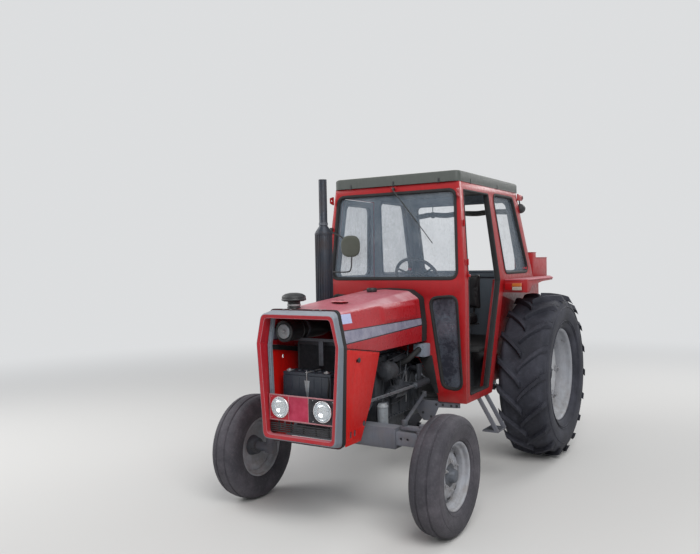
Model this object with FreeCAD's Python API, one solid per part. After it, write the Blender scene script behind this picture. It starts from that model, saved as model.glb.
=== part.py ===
import FreeCAD, Part
import math
import os

# A farm tractor with a safety cab, in millimetres.
# X points to the tractor's left, -Y is forward, Z is up, and the ground is Z = 0.
# "ahead" is a distance in front of the rear axle, so it grows towards the nose.

os.makedirs("parts", exist_ok=True)
Vector = FreeCAD.Vector
LEFT = Vector(1, 0, 0)
AHEAD = Vector(0, -1, 0)
UP = Vector(0, 0, 1)

# Wheels
wheelbase = 2253.0
front_track = 1607.0
rear_track = 1560.0
front_tyre_radius = 393.5
front_tyre_width = 210.0
front_rim_radius = 224.0
rear_tyre_radius = 737.5
rear_tyre_width = 430.0
rear_rim_radius = 415.0
rib_groove_depth = 14.0
lug_height = 38.0
lugs_per_row = 18
lug_sweep_deg = 17.0
lug_top_width = 34.0
lug_foot_width = 52.0
rim_wall = 9.0
front_facets = 34
rear_facets = 2 * lugs_per_row
hub_flange_radius = 89.7
rear_nuts = 8
rear_nut_circle = 204.0
front_nuts = 6
front_nut_circle = 78.0

# Fits
seat_gap = 0.3
pin_clearance = 0.3
swing_clearance = 6.0

# Front axle
beam_rise = 206.5
kingpin_inset = 163.5
kingpin_radius = 24.0
kingpin_boss_half = 62.0
kingpin_boss_radius = 44.0
stub_radius = 35.7
steering_arm_reach = 135.0
steering_arm_thickness = 20.0
drag_end_radius = 20.0
drag_link_radius = 13.0
beam_half_depth = 55.0
beam_half_height = 70.0
centre_pivot_radius = 22.0

# Steering beside the gearbox
drop_pivot_x = 254.0
drop_pivot_ahead = 1530.0
drop_pivot_z = 960.0
drop_arm_length = 200.0
drop_arm_thickness = 20.0

# Lengths along the tractor
cab_front = 1480.0
bulkhead_gap = 20.0
engine_to_axle = 193.0
nose_overhang = 528.0
bonnet_to_cab = 87.0
clutch_housing_length = 200.0
axle_case_front = 300.0
axle_case_rear = -290.0

# Heights above the ground
fender_gap = 130.0
sheet = 12.0
window_rise = 783.0
lower_rise = 917.0
roof_depth = 92.0
sump_z = 500.0
case_foot_z = 620.0
case_top_z = 980.0
head_top_z = 1085.0
axle_case_rise = 247.5
lift_cover_rise = 37.0

engine_half = 170.0
rib_half = 182.0

# Nose and bonnet
nose_depth = 96.0
nose_trim_depth = 28.0
nose_wall = 14.0
nose_lip_width = 38.0
nose_lip_depth = 45.0
nose_corner = 45.0
trim_width = 16.0
nose_bottom = (287.0, 627.0)
nose_shoulder = (330.5, 1258.0)
nose_top = (288.0, 1460.0)
trim_bottom = (290.0, 600.0)
trim_shoulder = (312.0, 1248.0)
trim_top = (264.0, 1484.0)
bonnet_skin = 6.0
bonnet_gap = 6.0
bonnet_lip_return = 16.0
bonnet_shoulder_radius = 30.0
cheek_length = 433.0
cheek_skin = 6.0
cheek_foot_x = 280.0
cheek_foot_z = 602.0
cheek_lean_deg = 2.0
bonnet_hinge_x = 120.0
bonnet_hinge_radius = 5.5
bonnet_pin_radius = 3.0
lamp_radius = 72.0
lamp_x = 170.0
lamp_z = 836.0

# Cab
cab_overhang = 100.0
tumblehome = 69.0
cab_wall = 40.0
screen_lean = 80.0
rear_post_foot = -200.0
rear_post_lean = 270.0
glass_thickness = 6.0
glass_fit = 1.0
window_radius = 65.0
door_pillar = 80.0
door_rear_belt = 715.0
door_rear_lean = 98.0
door_sill = 60.0
door_foot_rear = 1020.0
door_top_drop = 65.0
door_gap = 9.0
door_frame = 52.0
door_hinge_offset = 12.0
door_hinge_radius = 9.0
door_pin_radius = 5.0
fender_clearance = 35.0
fender_lip = 45.0
fender_front = 590.0
fender_rear = -700.0
fender_skirt = 112.0
floor_thickness = 24.0
tunnel_half = 232.0

# Hitch
link_pivot = (270.0, -60.0, 560.0)
link_ball = (412.0, -880.0, 505.0)
link_ball_radius = 32.0
link_bore_radius = 14.35
link_ball_width = 44.0
link_pin_radius = 14.0
rocker_ahead = -252.0
rocker_rise = 302.5
rocker_radius = 26.0
lift_arm_x = 205.0
lift_arm_reach = 263.0
lift_arm_rise = 25.0
lift_pin_radius = 12.0
lift_rod_share = 0.5427
drawbar_z = 420.0
drawbar_thickness = 30.0
drawbar_pin_radius = 16.5
drawbar_pin_ahead = -700.0
top_link_radius = 12.85
pto_radius = 17.5
pto_length = 110.0
pto_z = 600.0

# Sizes that follow
front_reach = wheelbase + nose_overhang
rear_reach = link_ball_radius - link_ball[1]
rear_axle_y = (front_reach - rear_reach) / 2
axle_beam_z = front_tyre_radius + beam_rise
kingpin_x = front_track / 2 - kingpin_inset
belt_z = 2 * rear_tyre_radius + fender_gap + sheet
roof_z = belt_z + window_rise
roof_top_z = roof_z + roof_depth
cab_sill_z = belt_z - lower_rise
fender_inner = rear_track / 2 - rear_tyre_width / 2 - fender_clearance
fender_outer = rear_track / 2 + fender_lip
cab_half = fender_inner + cab_overhang
roof_half = cab_half - tumblehome
nose_front = front_reach
nose_back = nose_front - nose_depth
trim_back = nose_back - nose_trim_depth
bonnet_front = trim_back - bonnet_gap
bonnet_rear = cab_front + bonnet_to_cab
cheek_rear = trim_back - cheek_length
engine_rear = cab_front + bulkhead_gap
engine_front = wheelbase - engine_to_axle
engine_length = engine_front - engine_rear
axle_case_top = rear_tyre_radius + axle_case_rise
floor_z = axle_case_top + lift_cover_rise + seat_gap
low_floor_z = cab_sill_z + sheet
bench_z = floor_z + floor_thickness
rocker_z = rear_tyre_radius + rocker_rise
door_front = cab_front - door_pillar
door_top_z = roof_z - door_top_drop
bonnet_hinge_ahead = bonnet_front - 1.0
bonnet_hinge_z = trim_top[1] - 4.0
lift_eye = (lift_arm_x + 27, rocker_ahead - lift_arm_reach, rocker_z + lift_arm_rise)


def place(x, ahead, z):
    """A point from its distance to the left, ahead of the rear axle and above the ground."""
    return Vector(x, rear_axle_y - ahead, z)


def block(xs, aheads, zs):
    corner = place(xs[0], aheads[1], zs[0])
    return Part.makeBox(xs[1] - xs[0], aheads[1] - aheads[0], zs[1] - zs[0], corner)


def rod(start, end, radius):
    """A true cylinder, for pins, bores and what must fit them."""
    foot = place(*start)
    run = place(*end) - foot
    return Part.makeCylinder(radius, run.Length, foot, run)


def cross_rod(x_from, x_to, ahead, z, radius):
    return rod((x_from, ahead, z), (x_to, ahead, z), radius)


def upright_rod(x, ahead, z_from, z_to, radius):
    return rod((x, ahead, z_from), (x, ahead, z_to), radius)


def loop(points):
    return Part.makePolygon(points + points[:1])


def facets(corners):
    """One flat face through three or four corners, or two triangles where the four are not flat."""
    kept = []
    for corner in corners:
        if not kept or (corner - kept[-1]).Length > 1e-6:
            kept.append(corner)
    if (kept[0] - kept[-1]).Length < 1e-6:
        kept.pop()
    if len(kept) < 3:
        return []
    if len(kept) == 3:
        return [Part.Face(loop(kept))]
    normal = (kept[1] - kept[0]).cross(kept[2] - kept[0])
    if abs(normal.normalize().dot(kept[3] - kept[0])) < 1e-4:
        return [Part.Face(loop(kept))]
    return [Part.Face(loop(kept[:3])), Part.Face(loop([kept[0], kept[2], kept[3]]))]


def skinned(rings, looped=False):
    """A solid skinned over rings of points. Looped rings close on themselves, others get flat ends."""
    pairs = list(zip(rings, rings[1:]))
    faces = []
    if looped:
        pairs.append((rings[-1], rings[0]))
    else:
        faces += [Part.Face(loop(rings[0])), Part.Face(loop(rings[-1]))]
    for near, far in pairs:
        for index in range(len(near)):
            after = (index + 1) % len(near)
            faces += facets([near[index], near[after], far[after], far[index]])
    shell = Part.makeShell(faces)
    shell.sewShape()
    solid = Part.makeSolid(Part.makeShell(shell.Faces))
    if solid.Volume < 0:
        solid.reverse()
    return solid


def turned(profile, centre, axis=LEFT, sides=24):
    """(along, radius) points turned about the axis at centre, in flat facets."""
    foot = place(*centre)
    across = UP if abs(axis.z) < 0.5 else LEFT
    across = (across - axis * across.dot(axis)).normalize()
    third = axis.cross(across)
    rings = []
    for number in range(sides):
        angle = 2 * math.pi * number / sides
        arm = across * -math.cos(angle) + third * math.sin(angle)
        rings.append([foot + axis * along + arm * radius for along, radius in profile])
    return skinned(rings, looped=True)


def bar(start, end, radius, sides=12):
    """A round bar in flat facets, for what fits nothing else."""
    foot = place(*start)
    run = place(*end) - foot
    length = run.Length
    return turned([(0, 0), (0, radius), (length, radius), (length, 0)], start, run.normalize(), sides)


def rounded(corners, radius, steps=3):
    """Points of a flat loop with an arc of short chords at each corner."""
    points = []
    for index, corner in enumerate(corners):
        back = (corners[index - 1] - corner).normalize()
        onward = (corners[(index + 1) % len(corners)] - corner).normalize()
        half = back.getAngle(onward) / 2
        reach = radius / math.tan(half)
        centre = corner + (back + onward).normalize() * (radius / math.sin(half))
        first = corner + back * reach - centre
        last = corner + onward * reach - centre
        sweep = first.getAngle(last)
        for step in range(steps + 1):
            share = step / steps
            blend = first * math.sin((1 - share) * sweep) + last * math.sin(share * sweep)
            points.append(centre + blend * (1 / math.sin(sweep)))
    return points


def outline(corners, radius=0.0):
    """A closed wire of lines, with a true arc of the radius at every corner."""
    if radius == 0:
        return loop(corners)
    edges = []
    stops = []
    for index, corner in enumerate(corners):
        back = (corners[index - 1] - corner).normalize()
        onward = (corners[(index + 1) % len(corners)] - corner).normalize()
        half = back.getAngle(onward) / 2
        reach = radius / math.tan(half)
        middle = corner + (back + onward).normalize() * (radius / math.sin(half) - radius)
        stops.append((corner + back * reach, middle, corner + onward * reach))
    for index, (start, middle, finish) in enumerate(stops):
        edges.append(Part.Arc(start, middle, finish).toShape())
        edges.append(Part.LineSegment(finish, stops[(index + 1) % len(stops)][0]).toShape())
    return Part.Wire(edges)


def side_plate(points, x, thickness, radius=0.0):
    """Points are (ahead, z); the plate grows to the left from x."""
    wire = outline([place(x, ahead, z) for ahead, z in points], radius)
    return Part.Face(wire).extrude(LEFT * thickness)


def front_plate(points, ahead, thickness, radius=0.0):
    """Points are (x, z); the plate grows forward from ahead."""
    wire = outline([place(x, ahead, z) for x, z in points], radius)
    return Part.Face(wire).extrude(AHEAD * thickness)


def plan_plate(points, z, thickness, radius=0.0):
    """Points are (x, ahead); the plate grows upward from z."""
    wire = outline([place(x, ahead, z) for x, ahead in points], radius)
    return Part.Face(wire).extrude(UP * thickness)


def mirrored(shape):
    return shape.mirror(Vector(0, 0, 0), LEFT)


def both_sides(shape):
    return Part.makeCompound([shape, mirrored(shape)])


def both_ways(half):
    """The (x, z) points of a left half, bottom to top, closed by their mirror."""
    return half + [(-x, z) for x, z in reversed(half)]


# Wheels, built for the left side and mirrored for the right

def tyre_profile(half_width, rim_radius, widest_radius, crown):
    """Half a section from the bead to the crown points, closed by its mirror."""
    half = [(half_width * 0.72, rim_radius + seat_gap), (half_width, widest_radius)] + crown
    return half + [(-along, radius) for along, radius in reversed(half)]


def lug(turn_deg, side):
    """One tread bar from the centre line out and back over the shoulder."""
    half_width = rear_tyre_width / 2
    hub = place(rear_track / 2, 0, rear_tyre_radius)
    carcass = rear_tyre_radius - lug_height
    stations = [
        # across, tip radius, foot radius, share of the sweep
        (-12.0, rear_tyre_radius, carcass - 12, 0.0),
        (half_width - 1.0, rear_tyre_radius - 26, carcass - 70, 1.0),
    ]
    rings = []
    for across, tip, foot, share in stations:
        middle = math.radians(turn_deg - lug_sweep_deg * share)
        ring = []
        for radius, width in ((foot, -lug_foot_width), (tip, -lug_top_width), (tip, lug_top_width), (foot, lug_foot_width)):
            angle = middle + width / 2 / radius
            ring.append(hub + Vector(side * across, radius * math.cos(angle), radius * math.sin(angle)))
        rings.append(ring)
    return skinned(rings)


def rear_tyre():
    carcass = rear_tyre_radius - lug_height
    shoulder = rear_tyre_width / 2 * 0.86
    crown = [(shoulder, carcass - 45), (shoulder * 0.85, carcass)]
    profile = tyre_profile(rear_tyre_width / 2, rear_rim_radius, 560.0, crown)
    body = turned(profile, (rear_track / 2, 0, rear_tyre_radius), LEFT, rear_facets)
    pitch = 360.0 / lugs_per_row
    lugs = []
    for number in range(lugs_per_row):
        lugs.append(lug(270 + number * pitch, 1))
        lugs.append(lug(270 + (number + 0.5) * pitch, -1))
    return body.fuse(lugs)


def front_tyre():
    half = front_tyre_width / 2
    crown = [(half * 0.86, front_tyre_radius - 24), (half * 0.74, front_tyre_radius - 3),
             (half * 0.3, front_tyre_radius - rib_groove_depth), (half * 0.2, front_tyre_radius)]
    profile = tyre_profile(half, front_rim_radius, 305.0, crown)
    return turned(profile, (front_track / 2, wheelbase, front_tyre_radius), LEFT, front_facets)


def nut_ring(count, circle, centre, alongs, radius):
    """Six-sided nuts round a wheel centre, from one x to another."""
    x, ahead, z = centre
    nuts = []
    for number in range(count):
        angle = 2 * math.pi * number / count
        nut_ahead = ahead + circle * math.cos(angle)
        nut_z = z + circle * math.sin(angle)
        nuts.append(bar((x + alongs[0], nut_ahead, nut_z), (x + alongs[1], nut_ahead, nut_z), radius, 6))
    return nuts


def rear_rim():
    """Rim with its bead seats and well, and a dished disc that bolts to the hub flange."""
    half = rear_tyre_width * 0.36
    inner = rear_rim_radius - rim_wall
    hole = (hub_flange_radius + seat_gap) / math.cos(math.pi / rear_facets)
    disc = 20.0
    centre = (rear_track / 2, 0, rear_tyre_radius)
    profile = [
        (-half, rear_rim_radius), (-half, inner - 12), (disc - 8, inner - 48), (disc - 30, 262),
        (disc - 30, hole), (disc - 18, hole), (disc - 18, 262),
        (disc + 6, inner - 40), (half, inner - 8), (half, rear_rim_radius),
    ]
    rim = turned(profile, centre, LEFT, rear_facets)
    return rim.fuse(nut_ring(rear_nuts, rear_nut_circle, centre, (disc - 20, disc + 8), 17))


def front_rim():
    """Rim, disc, hub and cap in one turned section."""
    half = front_tyre_width * 0.36
    outer = front_rim_radius
    centre = (front_track / 2, wheelbase, front_tyre_radius)
    profile = [
        (-half, outer), (-half, outer - 18), (-6, outer - 40), (12, 124), (12, 76), (-40, 62),
        (-40, stub_radius + pin_clearance), (30, stub_radius + pin_clearance), (30, 0), (60, 0), (52, 34), (24, 58),
        (24, 124), (6, outer - 36), (half, outer - 10), (half, outer),
    ]
    rim = turned(profile, centre, LEFT, front_facets)
    return rim.fuse(nut_ring(front_nuts, front_nut_circle + 18, centre, (20, 38), 11))


# Front axle and steering

steering_arm_z = axle_beam_z + kingpin_boss_half + seat_gap
drag_front = (kingpin_x - steering_arm_reach, wheelbase,
              steering_arm_z + steering_arm_thickness + drag_end_radius + pin_clearance)
drag_rear = (drop_pivot_x + 46, drop_pivot_ahead, drop_pivot_z - drop_arm_length)


def knuckle():
    """Kingpin with its collars, the steering arm on its top and the stub axle that carries the wheel."""
    foot_half = 34.0
    pin_top = steering_arm_z + steering_arm_thickness + 20
    pin = upright_rod(kingpin_x, wheelbase, front_tyre_radius, pin_top, kingpin_radius)
    foot = block((kingpin_x - foot_half, kingpin_x + foot_half), (wheelbase - foot_half, wheelbase + foot_half),
                 (front_tyre_radius - foot_half, front_tyre_radius + foot_half + 2))
    collar_top = axle_beam_z - kingpin_boss_half - seat_gap
    collar = bar((kingpin_x, wheelbase, front_tyre_radius + foot_half), (kingpin_x, wheelbase, collar_top), 36)
    stub = cross_rod(kingpin_x, front_track / 2 + 29, wheelbase, front_tyre_radius, stub_radius)
    eye_x = drag_front[0]
    arm = plan_plate(
        [(kingpin_x + 30, wheelbase + 30), (kingpin_x - 30, wheelbase + 30), (eye_x - 22, wheelbase + 20),
         (eye_x - 22, wheelbase - 20), (kingpin_x - 30, wheelbase - 30), (kingpin_x + 30, wheelbase - 30)],
        steering_arm_z, steering_arm_thickness)
    return pin.fuse([foot, collar, stub, arm])


def drag_link():
    """Bar between two upright joint bodies. The front one is round, as it turns on the steering arm."""
    x, ahead, z = drag_front
    pivot = upright_rod(x, ahead, z - drag_end_radius, z + drag_end_radius, drag_end_radius)
    x, ahead, z = drag_rear
    end = bar((x, ahead, z - drag_end_radius), (x, ahead, z + drag_end_radius), drag_end_radius)
    return bar(drag_front, drag_rear, drag_link_radius, 8).fuse([pivot, end])


def drop_arm():
    foot_half = 18.0
    head_half = 32.0
    plate = side_plate(
        [(drop_pivot_ahead - foot_half, drag_rear[2] - 24), (drop_pivot_ahead + foot_half, drag_rear[2] - 24),
         (drop_pivot_ahead + head_half, drop_pivot_z + head_half), (drop_pivot_ahead - head_half, drop_pivot_z + head_half)],
        drop_pivot_x, drop_arm_thickness)
    return plate.fuse(cross_rod(engine_half + seat_gap, drop_pivot_x, drop_pivot_ahead, drop_pivot_z, 18))


def front_axle_beam():
    """Box beam on its centre pivot, with lighter ends that carry the kingpin bosses."""
    shoulder = kingpin_x - 180
    arm_depth = 42.0
    centre = block((-shoulder, shoulder), (wheelbase - beam_half_depth, wheelbase + beam_half_depth),
                   (axle_beam_z - beam_half_height, axle_beam_z + beam_half_height))
    arms = []
    holes = [rod((0, wheelbase - 60, axle_beam_z), (0, wheelbase + 60, axle_beam_z), centre_pivot_radius + pin_clearance)]
    for side in (-1, 1):
        boss_x = side * kingpin_x
        low, high = sorted((side * shoulder, side * (kingpin_x - kingpin_boss_radius / 2)))
        arms.append(block((low, high), (wheelbase - arm_depth, wheelbase + arm_depth), (axle_beam_z - 44, axle_beam_z + 46)))
        arms.append(bar((boss_x, wheelbase, axle_beam_z - kingpin_boss_half), (boss_x, wheelbase, axle_beam_z + kingpin_boss_half),
                        kingpin_boss_radius, 20))
        holes.append(rod((boss_x, wheelbase, axle_beam_z - 80), (boss_x, wheelbase, axle_beam_z + 80),
                         kingpin_radius + pin_clearance))
        for reach in (35, 85):
            x = side * (shoulder + reach)
            holes.append(bar((x, wheelbase - 60, axle_beam_z), (x, wheelbase + 60, axle_beam_z), 10, 8))
    return centre.fuse(arms).cut(holes)


# Front of the chassis

support_half = 230.0
support_keel_z = axle_beam_z + 90
support_deck_z = axle_beam_z + 160
support_top_z = support_deck_z + 40


def front_support():
    """Casting bolted to the engine, with the ears of the axle pivot and the carrier of the nose."""
    spread_at = wheelbase - 3
    front = trim_back - 17
    deck = plan_plate([(-150, engine_front), (150, engine_front), (support_half, spread_at), (support_half, front),
                       (-support_half, front), (-support_half, spread_at)], support_deck_z, 40)
    keel = block((-110, 110), (engine_front, front), (support_keel_z, support_deck_z))
    ears = []
    for side in (-1, 1):
        ear = wheelbase + side * (beam_half_depth + 20)
        ears.append(block((-90, 90), (ear - 15, ear + 15), (axle_beam_z - 40, support_keel_z)))
    pin = rod((0, wheelbase - 100, axle_beam_z), (0, wheelbase + 100, axle_beam_z), centre_pivot_radius)
    carrier_z = support_deck_z + 10
    carrier_half = cheek_foot_x + math.tan(math.radians(cheek_lean_deg)) * (carrier_z - cheek_foot_z) - seat_gap
    carrier = block((-carrier_half, carrier_half), (front - 80, front - 40), (carrier_z, carrier_z + 20))
    return deck.fuse([keel, pin, carrier] + ears)


def side_panels():
    """Lower cheeks beside the radiator, leaning in towards the bottom."""
    points = [(trim_back, cheek_foot_z), (trim_back, 1232), (cheek_rear, 1164), (cheek_rear + 113, 835),
              (cheek_rear + 237, cheek_foot_z)]
    cheek = side_plate(points, 0, cheek_skin)
    for back, z, radius in ((134, 1144, 11), (236, 714, 13), (67, 668, 8), (117, 672, 8)):
        ahead = trim_back - back
        cheek = cheek.cut(bar((-20, ahead, z), (20, ahead, z), radius, 8))
    cheek.rotate(place(0, 0, cheek_foot_z), Vector(0, 1, 0), cheek_lean_deg)
    cheek.translate(LEFT * cheek_foot_x)
    return both_sides(cheek)


def nose_loop(face, inset, ahead):
    """Six-cornered ring with rounded corners, drawn in by the inset."""
    bottom, shoulder, top = face
    half = [(bottom[0] - inset, bottom[1] + inset), (shoulder[0] - inset, shoulder[1]), (top[0] - inset, top[1] - inset)]
    return rounded([place(x, ahead, z) for x, z in both_ways(half)], nose_corner - inset / 2)


nose_face = (nose_bottom, nose_shoulder, nose_top)
trim_face = (trim_bottom, trim_shoulder, trim_top)


def nose_surround():
    """Dished surround with a deep lip, and the fixed halves of the bonnet's hinges on its top."""
    rings = [
        nose_loop(trim_face, 0, nose_back),
        nose_loop(nose_face, 0, nose_front),
        nose_loop(nose_face, nose_lip_width, nose_front),
        nose_loop(nose_face, nose_lip_width, nose_front - nose_lip_depth),
        nose_loop(nose_face, nose_wall + 2, nose_front - nose_lip_depth),
        nose_loop(trim_face, nose_wall, nose_back),
    ]
    return skinned(rings, looped=True).fuse(hinge_brackets())


def nose_trim():
    rings = []
    for ahead, inset in ((trim_back, 0), (nose_back, 0), (nose_back, trim_width), (trim_back, trim_width)):
        rings.append(nose_loop(trim_face, inset, ahead))
    return skinned(rings, looped=True)


def bonnet_hinge_rods(radius, half_length):
    rods = []
    for middle in (-bonnet_hinge_x, bonnet_hinge_x):
        rods.append(cross_rod(middle - half_length, middle + half_length, bonnet_hinge_ahead, bonnet_hinge_z, radius))
    return rods


def hinge_brackets():
    """Pins on the hinge line, each held by two straps over the rubber trim."""
    strap_half = 6.0
    strap = 3.0
    foot = nose_back + 30
    low = trim_top[1] + seat_gap
    parts = bonnet_hinge_rods(bonnet_pin_radius, 34)
    for middle in (-bonnet_hinge_x, bonnet_hinge_x):
        for end in (-28, 28):
            xs = (middle + end - strap_half, middle + end + strap_half)
            parts.append(block(xs, (bonnet_hinge_ahead - 4, foot), (low, low + strap)))
            parts.append(block(xs, (bonnet_hinge_ahead - 4, bonnet_hinge_ahead + 4), (bonnet_hinge_z - 2, low + strap)))
            parts.append(block(xs, (foot - 16, foot), (trim_top[1] - 10, low + strap)))
    return parts


lamp_face = nose_front - nose_lip_depth - seat_gap


def lamp_panel():
    panel = block((-264, 264), (lamp_face - 14, lamp_face), (746, 920))
    holes = []
    for x in (-lamp_x, lamp_x):
        holes.append(bar((x, lamp_face - 30, lamp_z), (x, lamp_face + 30, lamp_z), lamp_radius - 6, 24))
    return panel.cut(holes)


def headlamps():
    """Lamp bowls with a rim that bears on the panel's back edge through its hole."""
    profile = [(-8, 0), (-8, 30), (34, lamp_radius - 8), (34, lamp_radius - 6 - seat_gap), (60, lamp_radius - 6 - seat_gap),
               (60, lamp_radius), (68, lamp_radius - 4), (74, 0)]
    return both_sides(turned(profile, (lamp_x, lamp_face - 44 - 14, lamp_z), AHEAD, 24))


def lower_grille():
    """Flat slats on three posts, behind the lip."""
    face = lamp_face
    bottom, top, slat_height, pitch = 668, 740, 9, 13
    slats = [block((-260, 260), (face - 16, face), (z, z + slat_height)) for z in range(bottom, top - slat_height, pitch)]
    posts = [block((x - 6, x + 6), (face - 22, face - 16), (bottom - 2, top)) for x in (-200, 0, 200)]
    return slats[0].fuse(slats[1:] + posts)


radiator_back = trim_back - 285
fan_z = 1010.0
fan_radius = 180.0


def radiator():
    """Core between side plates, with its top tank, filler neck and the fan's cowl behind it."""
    half = 235.0
    depth = 68.0
    top = 1235.0
    core = block((-half, half), (radiator_back, radiator_back + depth), (support_top_z, top))
    tank = block((-half + 10, half - 10), (radiator_back - 8, radiator_back + depth + 8), (top, top + 15))
    neck = bar((90, radiator_back + 20, top + 15), (90, radiator_back + 20, top + 60), 26)
    cowl = turned([(0, fan_radius + 17), (0, fan_radius + 25), (72, fan_radius + 25), (72, fan_radius + 17)],
                  (0, radiator_back - 72, fan_z), AHEAD, 32)
    return core.fuse([tank, neck, cowl])


def battery():
    """Case with a stepped lid, posts and filler plugs, on its tray."""
    low, high = -232.0, 156.0
    rear, front = trim_back - 192, trim_back - 35
    tray_z = support_top_z
    case_z = tray_z + 12
    lid_z = case_z + 228
    tray = block((low - 13, high + 14), (rear - 10, front + 10), (tray_z, case_z))
    case = block((low, high), (rear, front), (case_z, lid_z))
    lid = block((low + 4, high - 4), (rear + 4, front - 4), (lid_z, lid_z + 16))
    posts = [bar((x, front - 22, lid_z + 16), (x, front - 22, lid_z + 38), 10, 8) for x in (low + 42, high - 41)]
    plugs = [bar((low + 70 + 50 * n, rear + 70, lid_z + 16), (low + 70 + 50 * n, rear + 70, lid_z + 26), 14, 8)
             for n in range(6)]
    return tray.fuse([case, lid] + posts + plugs)


def air_cleaner():
    """Canister on a saddle over the radiator, with its pipe back towards the manifold."""
    front = trim_back - 7
    x, z, radius = -202.0, 1330.0, 74.0
    canister = turned([(0, 0), (0, radius - 24), (12, radius), (480, radius), (490, radius - 14), (490, 0)],
                      (x, front, z), -AHEAD, 28)
    saddle = block((x - 23, x + 23), (radiator_back + 8, radiator_back + 58), (1250, 1275))
    return canister.fuse(saddle)


# Engine and transmission

def engine_block():
    """Crankcase, sump, head and rocker cover, with the ribs of the block."""
    case = block((-engine_half, engine_half), (engine_rear, engine_front), (case_foot_z, case_top_z))
    sump = block((-130, 130), (engine_rear + 40, engine_front - 30), (sump_z, case_foot_z))
    head = block((-135, 135), (engine_rear + 30, engine_front - 40), (case_top_z, head_top_z))
    cover = front_plate(both_ways([(85, head_top_z), (85, head_top_z + 60), (60, head_top_z + 85)]),
                        engine_rear + 50, engine_length - 120)
    ribs = []
    for share in (0.1, 0.34, 0.57, 0.8):
        ahead = engine_rear + share * engine_length
        ribs.append(block((-rib_half, rib_half), (ahead, ahead + 16), (case_foot_z + 30, case_top_z - 30)))
    pulley = turned([(0, 0), (0, 60), (12, 52), (24, 60), (24, 0)], (0, engine_front, case_top_z - 100), AHEAD)
    return case.fuse([sump, head, cover, pulley] + ribs)


def engine_ancillaries():
    """What is bolted round the engine: pump and its pipes, filters, dynamo, manifold, starter and fan."""
    beside = rib_half + seat_gap
    pump_z = 830.0
    pump_ahead = engine_rear + 0.46 * engine_length
    pump = turned([(0, 0), (0, 48), (0.3 * engine_length, 48), (0.3 * engine_length, 30), (0.37 * engine_length, 30),
                   (0.37 * engine_length, 0)], (beside + 48, pump_ahead, pump_z), AHEAD, 16)
    governor = block((beside + 10, beside + 76), (pump_ahead + 20, pump_ahead + 90), (pump_z, pump_z + 80))
    injector_pipes = []
    for number in range(4):
        ahead = pump_ahead + 30 + number * 0.07 * engine_length
        top = engine_rear + (0.2 + 0.17 * number) * engine_length
        injector_pipes.append(bar((beside + 40, ahead, pump_z + 40), (135 + 8, top, head_top_z - 30), 4, 6))
    filters = [turned([(0, 0), (0, 32), (140, 38), (150, 32), (150, 0)], (engine_half + seat_gap + 38, engine_front - 48, case_foot_z + 10),
                      UP, 16)]
    bracket_z = support_top_z + seat_gap
    filter_ahead = engine_front + 85
    canister = turned([(0, 0), (0, 26), (8, 32), (136, 32), (146, 22), (160, 22), (160, 0)], (276, filter_ahead, bracket_z - 158),
                      UP, 16)
    filters.append(canister.fuse(block((150, 290), (filter_ahead - 10, filter_ahead + 10), (bracket_z, bracket_z + 6))))
    dynamo_z = case_top_z + 20
    dynamo_x = engine_half + math.sqrt(68 ** 2 - 20 ** 2) + seat_gap
    dynamo = turned([(0, 0), (0, 60), (110, 68), (120, 40), (130, 40), (130, 0)], (dynamo_x, engine_front - 130, dynamo_z),
                    AHEAD, 20)
    manifold_length = 0.66 * engine_length
    manifold = block((-200, -135 - seat_gap), (engine_rear + 90, engine_rear + 90 + manifold_length), (1000, 1070))
    intake = turned([(0, 0), (0, 30), (0.5 * engine_length, 30), (0.5 * engine_length, 0)],
                    (135 + seat_gap + 30, engine_rear + 40, case_top_z + 75), AHEAD, 12)
    hub = bar((0, engine_front + seat_gap, fan_z), (0, radiator_back - 82, fan_z), 32)
    blades = []
    for number in range(6):
        blade = block((-28, 28), (radiator_back - 100, radiator_back - 92), (fan_z + 20, fan_z + fan_radius))
        blade.rotate(place(0, 0, fan_z), Vector(0, 1, 0), number * 60)
        blades.append(blade)
    fan = hub.fuse(blades)
    starter_ahead = drop_pivot_ahead + 160
    starter = turned([(0, 0), (0, 50), (180, 50), (180, 26), (230, 26), (230, 0)],
                     (-beside - 50, starter_ahead, 800), AHEAD, 16)
    pump_group = pump.fuse([governor] + injector_pipes)
    return Part.makeCompound([pump_group, dynamo, manifold, intake, fan, starter] + filters)


def exhaust_stack():
    """Branch from the manifold, elbow and a stack with its silencer, open at the top."""
    x, ahead = -400.0, engine_rear + 0.607 * engine_length
    branch_z = 1035.0
    top = roof_z + 40
    silencer = (1330.0, 2030.0)
    pipe_radius, silencer_radius = 32.0, 65.0
    profile = [(branch_z, 0), (branch_z, pipe_radius), (silencer[0] - 30, pipe_radius), (silencer[0], silencer_radius),
               (silencer[1], silencer_radius), (silencer[1] + 48, pipe_radius), (top, pipe_radius), (top, pipe_radius - 5),
               (top - 240, pipe_radius - 5), (top - 240, 0)]
    stack = turned(profile, (x, ahead, 0), UP, 24)
    branch = bar((x - 30, ahead, branch_z), (-200 - seat_gap, ahead, branch_z), 30, 16)
    return stack.fuse(branch)


def fuel_tank():
    """Tank under the bonnet's rear half, resting on the rocker cover, with its filler neck."""
    rear = bonnet_rear + 40
    foot = head_top_z + 85 + seat_gap
    tank = front_plate(both_ways([(262, foot + 20), (262, 1430), (200, 1500)]), rear, min(330, engine_length - 100))
    saddle = block((-60, 60), (rear + 43, engine_rear + 0.7 * engine_length), (foot, foot + 20))
    neck = bar((-23, rear + 80, 1500), (-23, rear + 80, 1535), 30)
    return tank.fuse([saddle, neck])


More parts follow.
